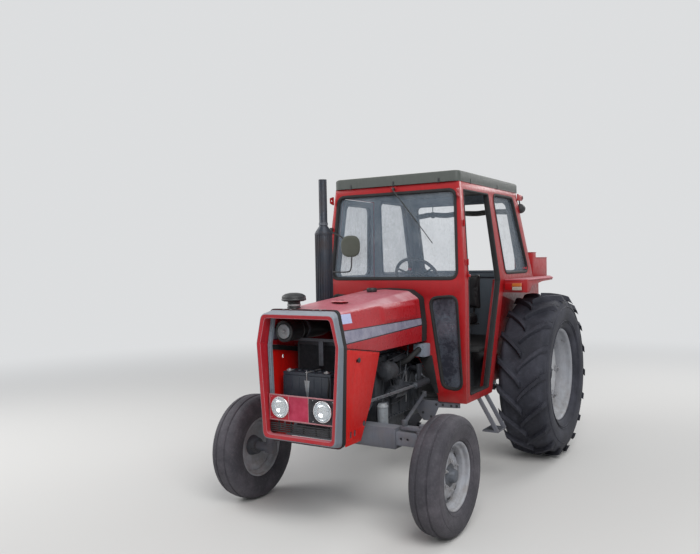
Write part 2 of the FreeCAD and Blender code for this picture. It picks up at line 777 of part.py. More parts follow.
def transmission_case():
    """Bell housing and gearbox with their stiffening ribs."""
    clutch_rear = engine_rear - clutch_housing_length
    bell = front_plate(both_ways([(150, 560), (195, 640), (195, 900), (120, 1000)]), clutch_rear, clutch_housing_length)
    case = front_plate(both_ways([(140, 560), (165, 620), (165, 930), (120, axle_case_top)]), axle_case_front,
                       clutch_rear - axle_case_front)
    ribs = []
    for share in (0.22, 0.6):
        ahead = axle_case_front + share * (clutch_rear - axle_case_front)
        ribs.append(front_plate(both_ways([(150, 545), (178, 610), (178, 940), (128, axle_case_top + 15)]), ahead, 24))
    return bell.fuse([case] + ribs)


def rear_axle_housing():
    """Centre housing with its trumpets, brakes, hub flanges, lift cover, rocker bearings and link pins."""
    top = axle_case_top
    foot = top - 505
    centre = front_plate(both_ways([(170, foot), (215, foot + 80), (215, top - 85), (170, top)]), axle_case_rear,
                         axle_case_front - axle_case_rear)
    flange_x = rear_track / 2 - 40
    brake_x = fender_inner + 30
    trumpet = [(200, 145), (330, 88), (brake_x, 88), (brake_x, 130), (brake_x + 30, 130), (brake_x + 30, 62),
               (flange_x, 62), (flange_x, hub_flange_radius), (flange_x + 80, hub_flange_radius), (flange_x + 80, 0), (200, 0)]
    parts = [block((-165, 165), (-200, 160), (top, top + lift_cover_rise))]
    for side in (-1, 1):
        parts.append(cross_rod(side * (flange_x + 70), side * (flange_x + 102), 0, rear_tyre_radius, 60))
        parts.append(turned([(side * x, radius) for x, radius in trumpet], (0, 0, rear_tyre_radius), LEFT, 28))
        bearing = block((side * 140 - 20, side * 140 + 20), (rocker_ahead - 36, rocker_ahead + 36), (top, rocker_z + 38))
        hole = cross_rod(side * 140 - 30, side * 140 + 30, rocker_ahead, rocker_z, rocker_radius + pin_clearance)
        parts.append(bearing.cut(hole))
        parts.append(cross_rod(side * 200, side * (link_pivot[0] + 30), link_pivot[1], link_pivot[2], link_pin_radius))
    parts.append(rod((0, axle_case_rear - pto_length, pto_z), (0, axle_case_rear, pto_z), pto_radius))
    parts.append(block((-90, 90), (axle_case_rear - 120, axle_case_rear), (pto_z + 55, pto_z + 67)))
    for x in (-60, 60):
        parts.append(block((x - 8, x + 8), (axle_case_rear - 60, axle_case_rear), (pto_z + 200, pto_z + 280)).cut(
            cross_rod(x - 12, x + 12, axle_case_rear - 32, pto_z + 242, top_link_radius)))
    return centre.fuse(parts)


def steering_ram():
    """Power cylinder along the left side, held by a trunnion, its rod pinned to a lug on the front support."""
    barrel_start = (307, cab_front + 6, 856)
    barrel_end = (305, engine_rear + 200, 852)
    rod_end = (266, wheelbase + 82, support_top_z + 38)
    parts = [bar(barrel_end, rod_end, 11)]
    mid = engine_rear + 138
    parts.append(block((engine_half, 290), (mid - 12, mid + 12), (838, 866)))
    lug_plate = (support_half - 17, support_half)
    parts.append(block(lug_plate, (rod_end[1] - 17, rod_end[1] + 17), (support_top_z, support_top_z + 62)))
    parts.append(cross_rod(lug_plate[0], rod_end[0] + 14, rod_end[1], rod_end[2], 9))
    return bar(barrel_start, barrel_end, 26, 16).fuse(parts)


# Bonnet

bonnet_stations = [
    # ahead, lip (x, z), shoulder (x, z), crease (x, z), crown (x, z)
    (bonnet_rear, (308, 1170), (312, 1300), (288, 1500), (200, 1560)),
    (cheek_rear, (308, 1172), (310, 1284), (272, 1486), (205, 1510)),
    (bonnet_front, (304, 1238), (306, 1262), (254, 1464), (212, 1474)),
]


def bonnet_ring(ahead, lip, shoulder, crease, crown):
    """The section's sheet at one station: over the outside and back along the inside."""
    outer = [lip, shoulder, crease, crown]
    inner = [(x - bonnet_skin, z) for x, z in (lip, shoulder)]
    inner.append((crease[0] - bonnet_skin, crease[1] - bonnet_skin / 2))
    inner.append((crown[0] - bonnet_skin / 2, crown[1] - bonnet_skin))
    rings = []
    for half in (outer, inner):
        points = [place(x, ahead, z) for x, z in both_ways(half)]
        soft = rounded(points, bonnet_shoulder_radius * 0.6, 2)
        steps = 3
        rings.append([points[0]] + soft[steps:-steps] + [points[-1]])
    return rings[0] + rings[1][::-1]


def bonnet():
    skin = skinned([bonnet_ring(*station) for station in bonnet_stations])
    leaves = []
    for middle in (-bonnet_hinge_x, bonnet_hinge_x):
        leaves.append(block((middle - 20, middle + 20), (bonnet_hinge_ahead - 40, bonnet_hinge_ahead),
                            (bonnet_hinge_z - 8, bonnet_hinge_z - 4)))
    whole = skin.fuse(bonnet_hinge_rods(bonnet_hinge_radius, 20) + leaves)
    return whole.cut(bonnet_hinge_rods(bonnet_pin_radius + pin_clearance, 40))


def pre_cleaner():
    """Mushroom-shaped intake cap standing on the bonnet."""
    ahead = bonnet_front - 61
    share = (bonnet_front - ahead - 50) / (bonnet_front - cheek_rear)
    foot = bonnet_stations[2][4][1] + share * (bonnet_stations[1][4][1] - bonnet_stations[2][4][1]) + 9
    return turned([(0, 0), (0, 46), (50, 46), (54, 84), (82, 84), (98, 60), (106, 0)], (-150, ahead, foot), UP, 24)


# Cab shell

def lean_front(z):
    """How far ahead the front posts stand at a height above the belt."""
    return cab_front - screen_lean * (z - belt_z) / window_rise


def leaning_front(inner, outer):
    """Slab of the windscreen's lean, from two distances ahead at the belt."""
    points = [(outer, belt_z), (inner, belt_z), (inner - screen_lean, roof_z), (outer - screen_lean, roof_z)]
    return side_plate(points, -cab_half - 100, 2 * cab_half + 200)


def leaning_side(inner, outer):
    """Slab of the cab side's tumblehome on the left, from two half widths at the belt."""
    points = [(outer, belt_z), (inner, belt_z), (inner - tumblehome, roof_z), (outer - tumblehome, roof_z)]
    return front_plate(points, rear_post_foot - 200, cab_front - rear_post_foot + 300)


def leaning_rear(inner, outer):
    points = [(outer, belt_z), (inner, belt_z), (inner + rear_post_lean, roof_z), (outer + rear_post_lean, roof_z)]
    return side_plate(points, -cab_half - 100, 2 * cab_half + 200)


def shrunk(points, by):
    """A convex loop of flat points drawn in towards its middle by about the amount on each axis."""
    middle = [sum(values) / len(points) for values in zip(*points)]
    return [tuple(v - math.copysign(by, v - m) for v, m in zip(point, middle)) for point in points]


screen_opening = both_ways([(cab_half - 64, belt_z + 35), (roof_half - 33, roof_z - 65)])
low_window = [(cab_half - 295, belt_z - 117), (cab_half - 70, belt_z - 97), (cab_half - 32, cab_sill_z + 100),
              (cab_half - 192, cab_sill_z + 115)]
quarter_opening = [(555, belt_z + 55), (690, roof_z - 55), (190, roof_z - 55), (-75, belt_z + 55)]
door_rear_top = door_rear_belt + door_rear_lean * (door_top_z - belt_z) / window_rise


def door_loop(gap):
    """(ahead, z) corners of the doorway, or of the door that is smaller by the gap all round."""
    front = door_front - gap
    return [(front, cab_sill_z + door_sill + gap), (front, belt_z),
            (lean_front(door_top_z) - door_pillar - gap, door_top_z - gap), (door_rear_top + gap, door_top_z - gap),
            (door_rear_belt + gap, belt_z), (door_foot_rear + gap, cab_sill_z + door_sill + gap)]


def cab_front_frame():
    """Windscreen frame above the belt, bulkhead with two low windows and the arch over the gearbox below it."""
    reach = cab_front - 480
    far = 600.0
    upper = leaning_front(cab_front - cab_wall, cab_front)
    upper = upper.common(front_plate(both_ways([(cab_half, belt_z), (roof_half, roof_z)]), reach, far))
    upper = upper.cut(front_plate(screen_opening, reach, far, window_radius))
    lower = front_plate(both_ways([(cab_half, cab_sill_z), (cab_half, belt_z)]), cab_front - cab_wall, cab_wall)
    arch = both_ways([(395, cab_sill_z - 20), (395, cab_sill_z + 45), (tunnel_half - 2, cab_sill_z + 330)])
    openings = [front_plate(arch, reach, far)]
    for points in (low_window, [(-x, z) for x, z in low_window]):
        openings.append(front_plate(points, reach, far, window_radius))
    return upper.fuse(lower.cut(openings))


def cab_side():
    """Side frame: doorway, quarter window and the strip that runs down in front of the wheel."""
    front = cab_front - cab_wall
    upper_outline = [(front, belt_z), (front - screen_lean, roof_z), (rear_post_foot + rear_post_lean, roof_z),
                     (rear_post_foot, belt_z)]
    upper = leaning_side(cab_half - cab_wall, cab_half).common(side_plate(upper_outline, 0, 2 * cab_half))
    lower_outline = [(front, cab_sill_z), (front, belt_z), (fender_front + 10, belt_z), (door_foot_rear - 85, cab_sill_z)]
    lower = side_plate(lower_outline, cab_half - cab_wall, cab_wall)
    return upper.fuse(lower).cut([side_plate(door_loop(0), 0, 2 * cab_half),
                                  side_plate(quarter_opening, 0, 2 * cab_half, window_radius)])


door_hinge_heights = (belt_z + 73, roof_z - 180)


def hinge_point(z, outward):
    """On the line of the left-hand door's hinges, at a height."""
    rise = (z - belt_z) / window_rise
    return (cab_half + outward - tumblehome * rise, door_rear_belt - door_gap + door_rear_lean * rise, z)


def hinge_barrel(z, half_length, radius):
    return rod(hinge_point(z - half_length, door_hinge_offset), hinge_point(z + half_length, door_hinge_offset), radius)


def hinge_leaf(z, half_length, start, reach, depth):
    """A plate beside the barrel, forward or back from the start to the reach, down to a depth in the wall."""
    x, ahead, z = hinge_point(z, 0)
    aheads = sorted((ahead + start, ahead + reach))
    return block((x + depth, x + door_hinge_offset), aheads, (z - half_length, z + half_length))


def hinged_wall(wall):
    """Right-hand wall with the pins and their lugs above and below each door barrel."""
    parts = []
    for z in door_hinge_heights:
        parts.append(hinge_barrel(z, 45, door_pin_radius))
        for lug_z in (z - 33, z + 33):
            parts += [hinge_barrel(lug_z, 10, door_hinge_radius), hinge_leaf(lug_z, 10, 0, -40, -8)]
    return wall.fuse(parts)


def door():
    """Right-hand door: a ring as thick as the wall that fills the doorway, with two panes."""
    outer, inner = cab_half, cab_half - cab_wall + 4
    far = 2 * cab_half

    def slab(inside, outside):
        below = front_plate([(outside, cab_sill_z), (inside, cab_sill_z), (inside, belt_z), (outside, belt_z)],
                            door_foot_rear - 500, 1000)
        return leaning_side(inside, outside).fuse(below)

    frame = door_frame
    windows = [
        [(door_front - frame - 18, belt_z + 43), (lean_front(door_top_z) - door_pillar - frame - 8, door_top_z - 50),
         (door_rear_top + frame - 7, door_top_z - 50), (door_rear_belt + frame + 11, belt_z + 43)],
        [(door_front - frame - 8, belt_z - 57), (door_front - frame - 8, cab_sill_z + 160),
         (door_foot_rear + 40, cab_sill_z + 160), (door_rear_belt + 100, belt_z - 57)],
    ]
    leaf = slab(inner, outer).common(side_plate(door_loop(door_gap), 0, far))
    leaf = leaf.cut([side_plate(window, 0, far, window_radius) for window in windows])
    for z in door_hinge_heights:
        leaf = leaf.fuse([hinge_barrel(z, 20, door_hinge_radius), hinge_leaf(z, 20, 0, 46, 3),
                          hinge_leaf(z, 20, 2 * door_gap + 4, 46, -8)])
        leaf = leaf.cut(hinge_barrel(z, 30, door_pin_radius + pin_clearance))
    inset = (cab_wall - glass_thickness) / 2
    thin = slab(cab_half - inset - glass_thickness, cab_half - inset)
    panes = [thin.common(side_plate(shrunk(window, glass_fit), 0, far, window_radius)) for window in windows]
    return mirrored(leaf), mirrored(Part.makeCompound(panes))


def cab_rear_frame():
    """Leaning rear window frame and the panel below it, down to the floor."""
    reach = 1200.0
    upper = leaning_rear(rear_post_foot + cab_wall, rear_post_foot)
    inside = both_ways([(cab_half - cab_wall, belt_z), (roof_half - cab_wall, roof_z)])
    opening = both_ways([(cab_half - 130, belt_z + 55), (roof_half - 93, roof_z - 70)])
    upper = upper.common(front_plate(inside, -reach / 2, reach))
    upper = upper.cut(front_plate(opening, -reach / 2, reach, window_radius))
    half = fender_inner - sheet
    lower = front_plate(both_ways([(half, floor_z), (half, belt_z)]), rear_post_foot, 20)
    return upper.fuse(lower)


def roof():
    """Shallow moulded cap with a chamfered brow and rounded corners."""
    front = cab_front - screen_lean + 18
    rear = rear_post_foot + rear_post_lean - 50
    layers = []
    for inset, z, radius in ((0, roof_z, 50), (0, roof_z + 46, 50), (14, roof_z + 68, 50), (80, roof_top_z, 60)):
        half = roof_half + 4 - inset
        corners = [place(half, front - inset, z), place(half, rear + inset, z), place(-half, rear + inset, z),
                   place(-half, front - inset, z)]
        layers.append(rounded(corners, radius, 4))
    return skinned(layers)


def cab_floor():
    """Low footwell floor, the tunnel over the gearbox and the high floor under the seat."""
    under = floor_thickness
    step_ahead = 940.0
    half = [(cab_half - cab_wall, low_floor_z), (cab_half - cab_wall, low_floor_z + under), (tunnel_half, low_floor_z + under),
            (tunnel_half, bench_z)]
    below = both_ways([(tunnel_half - under, low_floor_z), (tunnel_half - under, floor_z)])
    slab = front_plate(both_ways(half), step_ahead, cab_front - cab_wall - step_ahead)
    slab = slab.cut(front_plate(below, step_ahead - 40, 700))
    rear_half = fender_inner - sheet
    rear = rear_post_foot + 20
    bench = front_plate(both_ways([(rear_half, floor_z), (rear_half, bench_z)]), rear, step_ahead - rear)
    return slab.fuse(bench)


def cab_glass():
    """Windscreen, two low front panes and two quarter panes, each a little smaller than its opening."""
    inset = (cab_wall - glass_thickness) / 2
    reach = cab_front - 480
    screen = leaning_front(cab_front - inset - glass_thickness, cab_front - inset)
    screen = screen.common(front_plate(shrunk(screen_opening, glass_fit), reach, 600, window_radius))
    pane = front_plate(shrunk(low_window, glass_fit), cab_front - inset - glass_thickness, glass_thickness, window_radius)
    side = leaning_side(cab_half - inset - glass_thickness, cab_half - inset)
    side = side.common(side_plate(shrunk(quarter_opening, glass_fit), 0, 2 * cab_half, window_radius))
    return Part.makeCompound([screen, pane, mirrored(pane), side, mirrored(side)])


def fenders():
    """Inner wall, flat deck, front apron and a shallow outer skirt over each rear wheel."""
    skin = sheet
    inner = fender_inner - skin
    under = belt_z - skin
    wall_foot = cab_sill_z + 40
    wall = side_plate([(door_foot_rear - 102, wall_foot), (fender_front - 5, under), (fender_rear, under),
                       (fender_rear, belt_z - 367), (-260, 880), (320, 880), (470, wall_foot)], inner, skin)
    deck = plan_plate([(inner, fender_front), (fender_outer, fender_front), (fender_outer, -170),
                       (fender_inner + 120, fender_rear), (inner, fender_rear)], under, skin)
    apron = block((fender_inner, fender_outer), (fender_front - skin, fender_front), (belt_z - fender_skirt, under))
    skirt = side_plate([(fender_front - skin, belt_z - fender_skirt), (fender_front - 60, belt_z - fender_skirt),
                        (fender_front - 140, belt_z - 60), (150, belt_z - 30), (-165, belt_z - 24), (-165, under),
                        (fender_front - skin, under)], fender_outer - skin, skin)
    closing = side_plate([(door_foot_rear - 102, wall_foot), (fender_front - 5, under), (fender_front + 20, under),
                          (door_foot_rear - 77, wall_foot)], fender_inner - 1, cab_overhang - cab_wall + 1)
    return both_sides(deck.fuse([wall, apron, skirt, closing]))


def stowage_box():
    """Stepped box on the left deck, behind the cab."""
    xs = (fender_inner - 90, fender_inner + 90)
    low = block(xs, (fender_rear + 10, -330), (belt_z, belt_z + 183))
    high = block(xs, (-330, -225), (belt_z, belt_z + 233))
    return low.fuse(high)


def fender_lamps():
    lamp = block((fender_inner + 110, fender_outer - 35), (fender_front, fender_front + 34), (belt_z - 92, belt_z - 30))
    return both_sides(lamp)


def rear_lamps():
    """Hooked brackets at the top of the rear posts, each with a small lamp body under it."""
    x = roof_half + 7
    post = rear_post_foot + rear_post_lean
    bracket = side_plate([(post - 10, roof_z - 70), (post - 10, roof_z - 8), (post - 140, roof_z - 15),
                          (post - 160, roof_z - 40), (post - 130, roof_z - 65)], x, 10)
    return both_sides(bracket)


def steps():
    """Hanging steps under each doorway, and the brackets that carry the cab on the clutch housing."""
    tread_z = cab_sill_z - 256
    tread_x = (cab_half + 10, cab_half + 140)
    rear, front, rail = 1010.0, 1190.0, 20.0
    parts = [block(tread_x, (rear, front), (tread_z - 12, tread_z))]
    for ahead in (rear, front - rail):
        parts.append(front_plate([(cab_half - 40, cab_sill_z), (cab_half - 5, cab_sill_z), (cab_half + 145, tread_z),
                                  (cab_half + 110, tread_z)], ahead, rail))
    step = parts[0].fuse(parts[1:])
    beside = 195 + seat_gap
    bracket = front_plate([(beside, 620), (beside, cab_sill_z), (cab_half - 60, cab_sill_z), (cab_half - 60, cab_sill_z - 40),
                           (390, cab_sill_z - 50), (340, 540), (260, 540)], cab_front - 25, 12)
    return Part.makeCompound([step, mirrored(step), bracket, mirrored(bracket)])


def seat():
    """Sprung box, cushion and back of the driver's seat."""
    top = bench_z + 134
    pedestal = block((-150, 150), (180, 480), (bench_z + seat_gap, top))
    cushion = block((-240, 240), (120, 580), (top + seat_gap, top + 110))
    back = block((-235, 235), (40, 120 - seat_gap), (top + 50, top + 500))
    return Part.makeCompound([pedestal, cushion, back])


def dash_console():
    """Instrument post, steering column and wheel, and two levers on the high floor."""
    foot = bench_z + seat_gap
    top = foot + 514
    post = front_plate(both_ways([(150, foot), (205, top - 120), (190, top)]), cab_front - 230, 180)
    column_low = place(0, cab_front - 220, top - 90)
    hub_at = (0, cab_front - 480, top + 87)
    axis = (place(*hub_at) - column_low).normalize()
    parts = [bar((0, cab_front - 220, top - 90), hub_at, 24)]
    parts.append(turned([(-14, 0), (-14, 40), (14, 34), (14, 0)], hub_at, axis, 16))
    parts.append(turned([(-12, 195), (0, 208), (12, 195), (0, 182)], hub_at, axis, 32))
    for number in range(3):
        spoke = Part.makeBox(190, 16, 10, Vector(0, -8, -5))
        spoke.rotate(Vector(0, 0, 0), UP, 90 + 120 * number)
        turn = FreeCAD.Placement(place(*hub_at), FreeCAD.Rotation(UP, axis))
        parts.append(spoke.transformGeometry(turn.toMatrix()))
    levers = [bar((x, cab_front - 780, foot), (x, cab_front - 780, foot + 254), 8, 8) for x in (-60, 60)]
    return Part.makeCompound([post.fuse(parts)] + levers)


def wiper():
    pivot_z = roof_z - 22
    face = lean_front(pivot_z - 15) + seat_gap
    pivot = block((-30, 30), (face, face + 32), (pivot_z - 15, pivot_z + 15))
    arm = bar((0, lean_front(pivot_z) + 20, pivot_z - 8), (350, lean_front(belt_z + 318) + 18, belt_z + 318), 5, 6)
    return pivot.fuse(arm)


def mirror():
    """Mirror over the bonnet's right side, on an arm from the right front post."""
    ahead = cab_front + 16
    z = belt_z + 213
    plate = front_plate([(-452, z), (-452, z + 180), (-272, z + 180), (-272, z)], ahead, 16, 40)
    post_x = 45 - cab_half
    foot_z = z + 220
    face = lean_front(foot_z - 25) + seat_gap
    base = block((post_x - 12, post_x + 12), (face, face + 10), (foot_z - 25, foot_z + 25))
    elbow = (post_x + 50, ahead + 8, foot_z - 20)
    return plate.fuse([base, bar((post_x, face + 5, foot_z), elbow, 7, 8), bar(elbow, (-440, ahead + 8, z + 150), 7, 8)])


def rear_curtain():
    """Rolled cover tied up inside the rear window's head."""
    z = roof_z - 160
    ahead = rear_post_foot + rear_post_lean * (z - belt_z) / window_rise + cab_wall - 25
    half = roof_half - 91
    return bar((-half, ahead, z), (half, ahead, z), 35, 12)


# Hitch

def lower_link(side):
    start = (side * link_pivot[0], link_pivot[1], link_pivot[2])
    end = (side * link_ball[0], link_ball[1], link_ball[2])
    half = link_ball_width / 2
    shape = bar(start, end, 20)
    eye = cross_rod(end[0] - half, end[0] + half, end[1], end[2], link_ball_radius)
    root = bar((start[0] - 18, start[1], start[2]), (start[0] + 18, start[1], start[2]), 30, 16)
    holes = [cross_rod(end[0] - 30, end[0] + 30, end[1], end[2], link_bore_radius),
             cross_rod(start[0] - 30, start[0] + 30, start[1], start[2], link_pin_radius + pin_clearance)]
    return shape.fuse([eye, root]).cut(holes)


def lower_links():
    return Part.makeCompound([lower_link(1), lower_link(-1)])


def lift_arms():
    """Rocker shaft with an arm at each end, and the pins that hold the lift rods."""
    root_half = 28.0
    end_half = 22.0
    thickness = 18.0
    shaft = cross_rod(-lift_arm_x - 30, lift_arm_x + 30, rocker_ahead, rocker_z, rocker_radius)
    parts = []
    for side in (-1, 1):
        parts.append(side_plate(
            [(rocker_ahead + root_half, rocker_z - root_half), (rocker_ahead + root_half, rocker_z + root_half),
             (lift_eye[1] - end_half, lift_eye[2] + end_half), (lift_eye[1] - end_half, lift_eye[2] - end_half)],
            side * lift_arm_x - thickness / 2, thickness))
        parts.append(cross_rod(side * lift_arm_x, side * (lift_eye[0] + 14), lift_eye[1], lift_eye[2], lift_pin_radius))
    return shaft.fuse(parts)


def lift_rod():
    """Rod from the lift arm's pin down to the outside of the lower link."""
    foot = [start + (end - start) * lift_rod_share for start, end in zip(link_pivot, link_ball)]
    foot[0] += 46
    shape = bar((lift_eye[0], lift_eye[1], lift_eye[2] - 16), tuple(foot), 13)
    top = bar((lift_eye[0] - 11, lift_eye[1], lift_eye[2]), (lift_eye[0] + 11, lift_eye[1], lift_eye[2]), 24, 16)
    end = bar((foot[0] - 8, foot[1], foot[2]), (foot[0] + 12, foot[1], foot[2]), 26, 16)
    holes = [cross_rod(lift_eye[0] - 30, lift_eye[0] + 30, lift_eye[1], lift_eye[2], lift_pin_radius + pin_clearance),
             cross_rod(foot[0] - 30, foot[0] + 30, foot[1], foot[2], 13)]
    return shape.fuse([top, end]).cut(holes)


def drawbar():
    half = 35.0
    end = drawbar_pin_ahead - 45
    plate = plan_plate([(-half, 100), (half, 100), (half, end + 25), (half - 15, end), (15 - half, end), (-half, end + 25)],
                       drawbar_z, drawbar_thickness)
    top = drawbar_z + drawbar_thickness
    hangers = [block((-30, 30), (ahead - 20, ahead + 20), (top, axle_case_top - 505)) for ahead in (70, -260)]
    hole = rod((0, drawbar_pin_ahead, drawbar_z - 20), (0, drawbar_pin_ahead, top + 20), drawbar_pin_radius)
    return plate.fuse(hangers).cut(hole)


right_door, right_door_glass = door()
tyre_rear = rear_tyre()
tyre_front = front_tyre()
rim_rear = rear_rim()
rim_front = front_rim()
side_left = cab_side()
knuckle_left = knuckle()
drag_link_left = drag_link()
drop_arm_left = drop_arm()

pieces = {
    "front_support": front_support(),
    "front_axle_beam": front_axle_beam(),
    "engine_block": engine_block(),
    "engine_ancillaries": engine_ancillaries(),
    "radiator": radiator(),
    "battery": battery(),
    "air_cleaner": air_cleaner(),
    "exhaust_stack": exhaust_stack(),
    "fuel_tank": fuel_tank(),
    "transmission_case": transmission_case(),
    "rear_axle_housing": rear_axle_housing(),
    "steering_ram": steering_ram(),
    "side_panels": side_panels(),
    "nose_surround": nose_surround(),
    "nose_trim": nose_trim(),
    "lamp_panel": lamp_panel(),
    "headlamps": headlamps(),
    "lower_grille": lower_grille(),
    "bonnet": bonnet(),
    "pre_cleaner": pre_cleaner(),
    "cab_front_frame": cab_front_frame(),
    "cab_side_left": side_left,
    "cab_side_right": mirrored(hinged_wall(side_left)),
    "cab_rear_frame": cab_rear_frame(),
    "roof": roof(),
    "cab_floor": cab_floor(),
    "cab_glass": cab_glass(),
    "fenders": fenders(),
    "stowage_box": stowage_box(),
    "fender_lamps": fender_lamps(),
    "rear_lamps": rear_lamps(),
    "steps": steps(),
    "seat": seat(),
    "dash_console": dash_console(),
    "wiper": wiper(),
    "mirror": mirror(),
    "rear_curtain": rear_curtain(),
    "drawbar": drawbar(),
    "door_right": right_door,
    "door_glass": right_door_glass,
    "lower_links": lower_links(),
    "lift_arms": lift_arms(),
    "lift_rods": both_sides(lift_rod()),
    "knuckle_left": knuckle_left,
    "knuckle_right": mirrored(knuckle_left),
    "drag_link_left": drag_link_left,
    "drag_link_right": mirrored(drag_link_left),
    "drop_arm_left": drop_arm_left,
    "drop_arm_right": mirrored(drop_arm_left),
    "front_tyre_left": tyre_front,
    "front_tyre_right": mirrored(tyre_front),
    "rear_tyre_left": tyre_rear,
    "rear_tyre_right": mirrored(tyre_rear),
    "front_rim_left": rim_front,
    "front_rim_right": mirrored(rim_front),
    "rear_rim_left": rim_rear,
    "rear_rim_right": mirrored(rim_rear),
}

for name, shape in pieces.items():
    shape.exportStep("parts/" + name + ".step")
    print(name, len(shape.Solids), "solids", round(shape.Volume / 1e6, 2), "litres", shape.isValid())
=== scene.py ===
# %% [markdown]
# # A farm tractor in cells
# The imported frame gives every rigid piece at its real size. This script only gives it its looks.
# The frame comes first, because each piece made here rides on one of its bodies.

# %% Load the frame
import math

import bmesh
import bpy
from mathutils import Matrix, Quaternion, Vector
from mathutils.bvhtree import BVHTree


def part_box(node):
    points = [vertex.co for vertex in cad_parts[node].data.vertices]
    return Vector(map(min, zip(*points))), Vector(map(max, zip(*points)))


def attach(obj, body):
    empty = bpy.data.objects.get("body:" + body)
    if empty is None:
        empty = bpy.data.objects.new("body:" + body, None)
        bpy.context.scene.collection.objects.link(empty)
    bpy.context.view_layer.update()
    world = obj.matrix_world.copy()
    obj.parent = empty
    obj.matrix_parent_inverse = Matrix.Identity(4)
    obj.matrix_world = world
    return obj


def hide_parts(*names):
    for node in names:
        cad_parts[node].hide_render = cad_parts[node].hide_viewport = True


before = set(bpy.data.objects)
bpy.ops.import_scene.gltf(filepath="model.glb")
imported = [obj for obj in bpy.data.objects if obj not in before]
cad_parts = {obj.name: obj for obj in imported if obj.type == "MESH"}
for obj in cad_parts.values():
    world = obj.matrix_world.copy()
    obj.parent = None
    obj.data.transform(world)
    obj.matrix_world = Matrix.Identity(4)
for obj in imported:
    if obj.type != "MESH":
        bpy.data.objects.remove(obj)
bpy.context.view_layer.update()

# %% [markdown]
# ## Places
# A tractor is measured from its rear axle, so places are given as left, ahead of the rear axle and up.
# The rear axle's own place is read from the rear tyre's box, so a moved frame moves every piece here.

# %% Places from the rear axle
rear_low, rear_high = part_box("rear_tyre_left")
rear_axle_y = (rear_low.y + rear_high.y) / 2


def at(left, ahead, up):
    """A point in the frame from its distance left, ahead of the rear axle and up."""
    return Vector((left, rear_axle_y - ahead, up))


print("rear axle at y", round(rear_axle_y, 4))

# %% [markdown]
# ## Camera
# The eye stands in front of the tractor's left side, a little over head height, as a visitor would.
# Its place and lens were fitted to wheel and cab corners. The roll is the tilt of a hand-held shot.

# %% Camera
eye = at(2.710, 6.484, 1.796)
view_yaw = 0.554
view_pitch = -0.022
view_roll = 0.018
photo_width_px = 700
focal_px = 710.25

camera_data = bpy.data.cameras.new("camera")
camera_data.sensor_width = 36.0
camera_data.lens = focal_px / photo_width_px * camera_data.sensor_width
camera = bpy.data.objects.new("camera", camera_data)
forward = Vector((-math.sin(view_yaw) * math.cos(view_pitch), math.cos(view_yaw) * math.cos(view_pitch),
                  math.sin(view_pitch)))
camera.location = eye
camera.rotation_mode = "QUATERNION"
camera.rotation_quaternion = forward.to_track_quat("-Z", "Y") @ Quaternion((0, 0, 1), -view_roll)
bpy.context.scene.collection.objects.link(camera)
bpy.context.scene.camera = camera
print("lens", round(camera_data.lens, 2), "mm")

# %% [markdown]
# ## Light and floor
# Soft studio light: a pale sky all round, one large panel high in front and a weaker one behind.
# The floor is plain and pale, and keeps the tractor's shadow.

# %% Light and floor
scene = bpy.context.scene
scene.view_settings.view_transform = "Standard"
sky = bpy.data.worlds.new("studio")
scene.world = sky
sky.use_nodes = True
sky_light = sky.node_tree.nodes["Background"]
sky_light.inputs["Color"].default_value = (0.86, 0.90, 0.96, 1)
sky_light.inputs["Strength"].default_value = 0.45
backdrop = (0.72, 0.73, 0.74, 1)


def seen_straight(tree):
    """1 for rays that the eye follows: straight, mirrored or through glass."""
    rays = tree.nodes.new("ShaderNodeLightPath")
    total = rays.outputs["Is Camera Ray"]
    for name in ("Is Glossy Ray", "Is Transmission Ray"):
        either = tree.nodes.new("ShaderNodeMath")
        either.operation = "MAXIMUM"
        tree.links.new(total, either.inputs[0])
        tree.links.new(rays.outputs[name], either.inputs[1])
        total = either.outputs[0]
    return total


shown_sky = sky.node_tree.nodes.new("ShaderNodeBackground")
shown_sky.inputs["Color"].default_value = backdrop
choice = sky.node_tree.nodes.new("ShaderNodeMixShader")
sky.node_tree.links.new(seen_straight(sky.node_tree), choice.inputs[0])
sky.node_tree.links.new(sky_light.outputs[0], choice.inputs[1])
sky.node_tree.links.new(shown_sky.outputs[0], choice.inputs[2])
sky.node_tree.links.new(choice.outputs[0], sky.node_tree.nodes["World Output"].inputs["Surface"])


def light_panel(name, place, aim, size, power):
    data = bpy.data.lights.new(name, "AREA")
    data.shape = "SQUARE"
    data.size = size
    data.energy = power
    lamp = bpy.data.objects.new(name, data)
    lamp.location = place
    lamp.rotation_mode = "QUATERNION"
    lamp.rotation_quaternion = (Vector(aim) - Vector(place)).to_track_quat("-Z", "Y")
    scene.collection.objects.link(lamp)


light_panel("front_panel", at(4.5, 6.5, 6.5), at(0, 1.2, 1.0), 5.0, 540)
light_panel("right_panel", at(-6.0, 3.5, 4.5), at(0, 1.2, 1.2), 4.0, 230)
light_panel("rear_panel", at(2.0, -6.0, 5.5), at(0, 0, 1.2), 4.0, 260)

floor_mesh = bpy.data.meshes.new("floor")
floor_half = 30.0
floor_mesh.from_pydata([(-floor_half, -floor_half, 0), (floor_half, -floor_half, 0), (floor_half, floor_half, 0),
                        (-floor_half, floor_half, 0)], [], [(0, 1, 2, 3)])
floor = bpy.data.objects.new("floor", floor_mesh)
scene.collection.objects.link(floor)
floor_paint = bpy.data.materials.new("floor_paint")
floor_paint.use_nodes = True
floor_shader = floor_paint.node_tree.nodes["Principled BSDF"]
floor_shader.inputs["Base Color"].default_value = (0.62, 0.61, 0.59, 1)
floor_shader.inputs["Roughness"].default_value = 0.9
floor_nodes, floor_links = floor_paint.node_tree.nodes, floor_paint.node_tree.links
here = floor_nodes.new("ShaderNodeTexCoord")
far = floor_nodes.new("ShaderNodeVectorMath")
far.operation = "LENGTH"
fade = floor_nodes.new("ShaderNodeMapRange")
fade.interpolation_type = "SMOOTHSTEP"
fade.inputs["From Min"].default_value = 3.5
